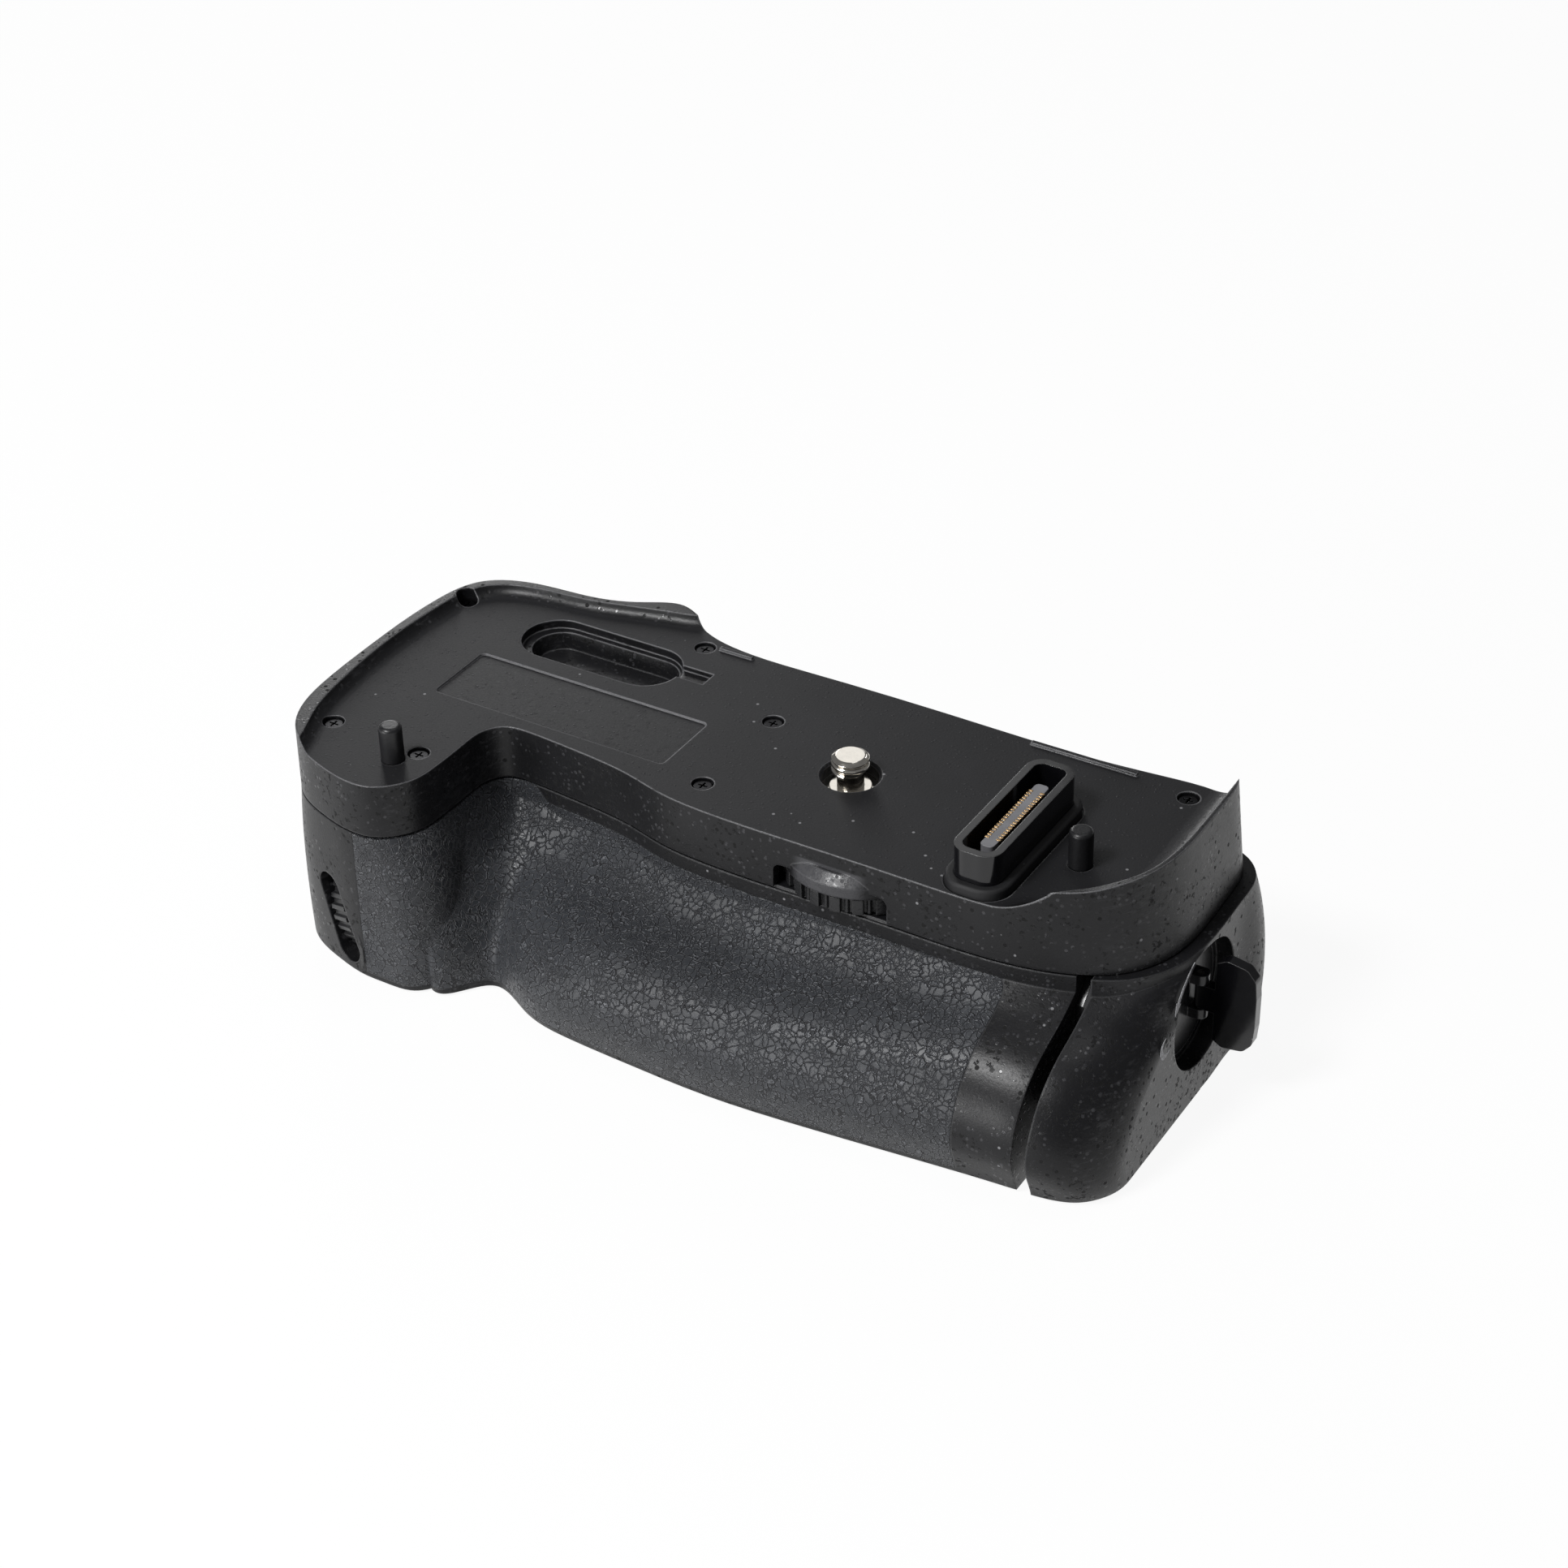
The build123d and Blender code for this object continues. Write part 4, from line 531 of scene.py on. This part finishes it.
class FormTree:
    """A shape made with Geometry Nodes from named inputs and kept as a plain mesh."""

    kinds = {float: "NodeSocketFloat", int: "NodeSocketInt", tuple: "NodeSocketVector"}

    def __init__(self, name, values):
        self.name = name
        self.values = values
        self.tree = bpy.data.node_groups.new(name, "GeometryNodeTree")
        self.identifiers = {
            label: self.declare(label, self.kinds[type(value)]) for label, value in values.items()}
        self.identifiers["Finish"] = self.declare("Finish", "NodeSocketMaterial")
        self.tree.interface.new_socket(
            "Geometry", in_out="OUTPUT", socket_type="NodeSocketGeometry")
        self.given = self.tree.nodes.new("NodeGroupInput").outputs

    def declare(self, label, kind):
        made = self.tree.interface.new_socket(label, in_out="INPUT", socket_type=kind)
        return made.identifier

    def put(self, kind, links, **settings):
        made = self.tree.nodes.new(kind)
        for key, value in settings.items():
            setattr(made, key, value)
        for key, value in links.items():
            if isinstance(value, bpy.types.NodeSocket):
                self.tree.links.new(value, made.inputs[key])
            else:
                made.inputs[key].default_value = value
        return made.outputs[0]

    def maths(self, operation, first, second):
        return self.put("ShaderNodeMath", {0: first, 1: second}, operation=operation)

    def mesh(self, shape, finish):
        """Ends the tree with this shape, gives it its inputs and returns what it makes."""
        real = self.put("GeometryNodeRealizeInstances", {"Geometry": shape})
        dressed = self.put("GeometryNodeSetMaterial", {
            "Geometry": real, "Material": self.given["Finish"]})
        end = self.tree.nodes.new("NodeGroupOutput")
        self.tree.links.new(dressed, end.inputs[0])
        holder_name = self.name + "_holder"
        holder = bpy.data.objects.new(holder_name, bpy.data.meshes.new(holder_name))
        bpy.context.scene.collection.objects.link(holder)
        modifier = holder.modifiers.new(self.name, "NODES")
        modifier.node_group = self.tree
        for label, value in {**self.values, "Finish": finish}.items():
            modifier[self.identifiers[label]] = value
        graph = bpy.context.evaluated_depsgraph_get()
        made = bpy.data.meshes.new_from_object(holder.evaluated_get(graph))
        bpy.data.objects.remove(holder)
        return made


def ridge_mesh(finish):
    """A ridge of round section that climbs round the screw."""
    form = FormTree("thread_ridge", {
        "Radius": (thread_radius - thread_ridge) * MM, "Climb": thread_pitch * thread_turns * MM,
        "Turns": thread_turns, "Ridge": thread_ridge * MM, "Start": thread_low * MM,
        "Heading": math.radians(thread_start_degrees)})
    given = form.given
    path = form.put("GeometryNodeCurveSpiral", {
        "Resolution": turn_facets, "Rotations": given["Turns"], "Start Radius": given["Radius"],
        "End Radius": given["Radius"], "Height": given["Climb"]})
    section = form.put("GeometryNodeCurvePrimitiveCircle", {
        "Resolution": ridge_facets, "Radius": given["Ridge"]}, mode="RADIUS")
    ridge = form.put("GeometryNodeCurveToMesh", {
        "Curve": path, "Profile Curve": section, "Fill Caps": True})
    lift = form.put("ShaderNodeCombineXYZ", {"Z": given["Start"]})
    swing = form.put("ShaderNodeCombineXYZ", {"Z": given["Heading"]})
    placed = form.put("GeometryNodeTransform", {
        "Geometry": ridge, "Translation": lift, "Rotation": swing})
    return form.mesh(placed, finish)


def turned_form(bm, profile, count):
    """Revolves (radius, height) pairs, in millimetres, round the Z axis into a closed skin."""
    rings = []
    for radius, height in profile:
        if radius == 0:
            rings.append([bm.verts.new((0, 0, height * MM))])
        else:
            rings.append([bm.verts.new((radius * MM * math.cos(math.tau * i / count),
                                        radius * MM * math.sin(math.tau * i / count),
                                        height * MM)) for i in range(count)])
    for low, high in zip(rings, rings[1:]):
        for i in range(count):
            j = (i + 1) % count
            if len(low) == 1:
                bm.faces.new((low[0], high[j], high[i]))
            elif len(high) == 1:
                bm.faces.new((low[i], low[j], high[0]))
            else:
                bm.faces.new((low[i], low[j], high[j], high[i]))


def make_mount_screw():
    steel = finishes["polished_steel"]
    bm = bmesh.new()
    turned_form(bm, screw_profile, screw_facets)
    bm.from_mesh(ridge_mesh(steel))
    bmesh.ops.recalc_face_normals(bm, faces=bm.faces)
    for face in bm.faces:
        face.smooth = abs(face.normal.z) < flat_share
    sharp = math.radians(sharp_degrees)
    for edge in bm.edges:
        edge.smooth = len(edge.link_faces) == 2 and edge.calc_face_angle(0) < sharp
    mesh = bpy.data.meshes.new("threaded_screw")
    bm.to_mesh(mesh)
    bm.free()
    piece = add_piece("threaded_screw", mesh, steel, "camera_screw_set")
    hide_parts("mount_screw")


def make_contacts():
    """Two rows of upright contact blades, one along each side of the tongue."""
    low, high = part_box("connector_contacts")
    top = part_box("connector_tongue")[1][2] + contact_proud * MM
    width, depth = contact_width * MM, contact_depth * MM
    gold = finishes["gold_contacts"]
    form = FormTree("contact_comb", {
        "Width": width, "Depth": depth, "Height": top - low[2],
        "Pitch": (high[1] - low[1] - width) / (contact_count - 1),
        "Out": (high[0] - low[0]) / 2 - depth / 2, "Count": contact_count,
        "Middle": ((low[0] + high[0]) / 2, (low[1] + high[1]) / 2, (top + low[2]) / 2)})
    given = form.given
    size = form.put("ShaderNodeCombineXYZ", {
        "X": given["Depth"], "Y": given["Width"], "Z": given["Height"]})
    blade = form.put("GeometryNodeMeshCube", {"Size": size})
    gaps = form.maths("SUBTRACT", given["Count"], 1.0)
    length = form.maths("MULTIPLY", gaps, given["Pitch"])
    first = form.maths("MULTIPLY", length, -0.5)
    step = form.put("ShaderNodeCombineXYZ", {"Y": given["Pitch"]})
    rows = form.tree.nodes.new("GeometryNodeJoinGeometry")
    for side in (1.0, -1.0):
        out = form.maths("MULTIPLY", given["Out"], side)
        start = form.put("ShaderNodeCombineXYZ", {"X": out, "Y": first})
        row = form.put("GeometryNodeMeshLine", {
            "Count": given["Count"], "Start Location": start, "Offset": step})
        form.tree.links.new(row, rows.inputs[0])
    blades = form.put("GeometryNodeInstanceOnPoints", {
        "Points": rows.outputs[0], "Instance": blade})
    placed = form.put("GeometryNodeTransform", {
        "Geometry": blades, "Translation": given["Middle"]})
    mesh = form.mesh(placed, gold)
    mesh.name = "contact_comb"
    piece = add_piece("contact_comb", mesh, gold, "housing")
    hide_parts("connector_contacts")


def round_well(radius, degrees):
    """The (y, z) point at this angle from straight up towards the front."""
    turn = math.radians(degrees)
    return (latch_middle[0] - radius * math.sin(turn), latch_middle[1] + radius * math.cos(turn))


def arrow_outline():
    """A curved arrow that widens as it follows the edge of the well, up to its head."""
    neck = arrow_last_degrees - arrow_head_degrees
    outer, inner = [], []
    for i in range(arrow_steps + 1):
        share = i / arrow_steps
        angle = arrow_first_degrees + (neck - arrow_first_degrees) * share
        half = (arrow_tail_width + (arrow_neck_width - arrow_tail_width) * share) / 2
        outer.append(round_well(arrow_radius + half, angle))
        inner.append(round_well(arrow_radius - half, angle))
    head = [round_well(arrow_radius + arrow_head_width / 2, neck),
            round_well(arrow_radius, arrow_last_degrees),
            round_well(arrow_radius - arrow_head_width / 2, neck)]
    return outer + head + inner[::-1]


def arc(centre, radius, first, sweep, steps):
    """Points (y, z) along an arc, from the angle first and over the angle sweep."""
    return [(centre[0] + radius * math.cos(first + sweep * i / crescent_steps),
             centre[1] + radius * math.sin(first + sweep * i / crescent_steps)) for i in steps]


def crescent_outline():
    """Two arcs that meet in points: an outer round and a smaller one set to one side."""
    centre = round_well(crescent_radius, crescent_degrees)
    turn = math.radians(crescent_turn_degrees)
    squares = crescent_outer ** 2 - crescent_inner ** 2 + crescent_offset ** 2
    reach = squares / (2 * crescent_offset)
    half = math.acos(reach / crescent_outer)
    inner_half = math.acos((reach - crescent_offset) / crescent_inner)
    aside = (centre[0] + crescent_offset * math.cos(turn),
             centre[1] + crescent_offset * math.sin(turn))
    outer = arc(centre, crescent_outer, turn + half, math.tau - 2 * half,
                range(crescent_steps + 1))
    inner = arc(aside, crescent_inner, turn - inner_half, 2 * inner_half - math.tau,
                range(1, crescent_steps))
    return outer + inner


def flat_mark(name, outline, finish):
    """A thin printed patch on the cap's end face, given by (y, z) in millimetres."""
    bm = bmesh.new()
    face = (cap_face + ink_proud) * MM
    foot = (cap_face - ink_sunk) * MM
    front = [bm.verts.new((face, y * MM, z * MM)) for y, z in outline]
    back = [bm.verts.new((foot, y * MM, z * MM)) for y, z in outline]
    bm.faces.new(front)
    bm.faces.new(back[::-1])
    count = len(outline)
    for i in range(count):
        j = (i + 1) % count
        bm.faces.new((front[i], back[i], back[j], front[j]))
    bmesh.ops.recalc_face_normals(bm, faces=bm.faces)
    mesh = bpy.data.meshes.new(name)
    bm.to_mesh(mesh)
    bm.free()
    add_piece(name, mesh, finish, "tray")


make_mount_screw()
make_contacts()
ink = print_grey("print_grey")
flat_mark("turn_arrow", arrow_outline(), ink)
flat_mark("lock_crescent", crescent_outline(), ink)


# Camera, floor and light
def add_camera():
    data = bpy.data.cameras.new("camera")
    data.lens = camera_lens
    data.sensor_width = camera_sensor
    data.clip_start = 0.01
    data.clip_end = 20.0
    camera = bpy.data.objects.new("camera", data)
    forward = Vector(camera_forward).normalized()
    up = Vector(camera_right).normalized().cross(forward).normalized()
    right = forward.cross(up).normalized()
    turn = Matrix((right, up, -forward)).transposed().to_4x4()
    camera.matrix_world = Matrix.Translation(camera_place) @ turn
    bpy.context.scene.collection.objects.link(camera)
    bpy.context.scene.camera = camera


def add_floor():
    """A pale floor that looks white to the camera and in reflections, and takes the shadow."""
    low = cad_box[0][2] - floor_gap
    corners = [(-floor_half, -floor_half, low), (floor_half, -floor_half, low),
               (floor_half, floor_half, low), (-floor_half, floor_half, low)]
    mesh = bpy.data.meshes.new("floor")
    mesh.from_pydata(corners, [], [(0, 1, 2, 3)])
    floor = bpy.data.objects.new("floor", mesh)
    bpy.context.scene.collection.objects.link(floor)
    g = Graph("pale_floor")
    shader = g.node("ShaderNodeBsdfPrincipled", {}, {
        "Base Color": floor_grey, "Roughness": 0.9, "Specular IOR Level": 0.1})
    seen = g.node("ShaderNodeLightPath", {}, {}, "Is Camera Ray")
    mirrored = g.node("ShaderNodeLightPath", {}, {}, "Is Glossy Ray")
    through = g.node("ShaderNodeLightPath", {}, {}, "Is Transmission Ray")
    white = g.node("ShaderNodeEmission", {}, {"Color": floor_white, "Strength": floor_glow})
    share = (seen + mirrored + through).least(1.0) * floor_glow_share
    mesh.materials.append(g.output(g.node("ShaderNodeMixShader", {}, [share, shader, white])))


def add_lamp(name, place, aim, size, power):
    data = bpy.data.lights.new(name, "AREA")
    data.shape = "RECTANGLE"
    data.size, data.size_y = size
    data.energy = power
    lamp = bpy.data.objects.new(name, data)
    lamp.location = place
    lamp.rotation_euler = (Vector(aim) - Vector(place)).to_track_quat("-Z", "Y").to_euler()
    bpy.context.scene.collection.objects.link(lamp)


def add_world():
    """A dim room for the part, which the camera sees as white above the horizon."""
    world = bpy.data.worlds.new("studio")
    bpy.context.scene.world = world
    world.use_nodes = True
    tree = world.node_tree
    background = tree.nodes["Background"]
    background.inputs["Color"].default_value = world_colour
    rays = tree.nodes.new("ShaderNodeLightPath")
    seen = tree.nodes.new("ShaderNodeMath")
    seen.operation = "MAXIMUM"
    tree.links.new(rays.outputs["Is Camera Ray"], seen.inputs[0])
    tree.links.new(rays.outputs["Is Transmission Ray"], seen.inputs[1])
    lit = tree.nodes.new("ShaderNodeMapRange")
    lit.inputs["To Min"].default_value = world_light
    lit.inputs["To Max"].default_value = 1.0
    tree.links.new(seen.outputs[0], lit.inputs["Value"])
    tree.links.new(lit.outputs[0], background.inputs["Strength"])


add_camera()
add_floor()
add_world()
for lamp in lamps:
    add_lamp(*lamp)
bpy.context.scene.view_settings.view_transform = "Standard"
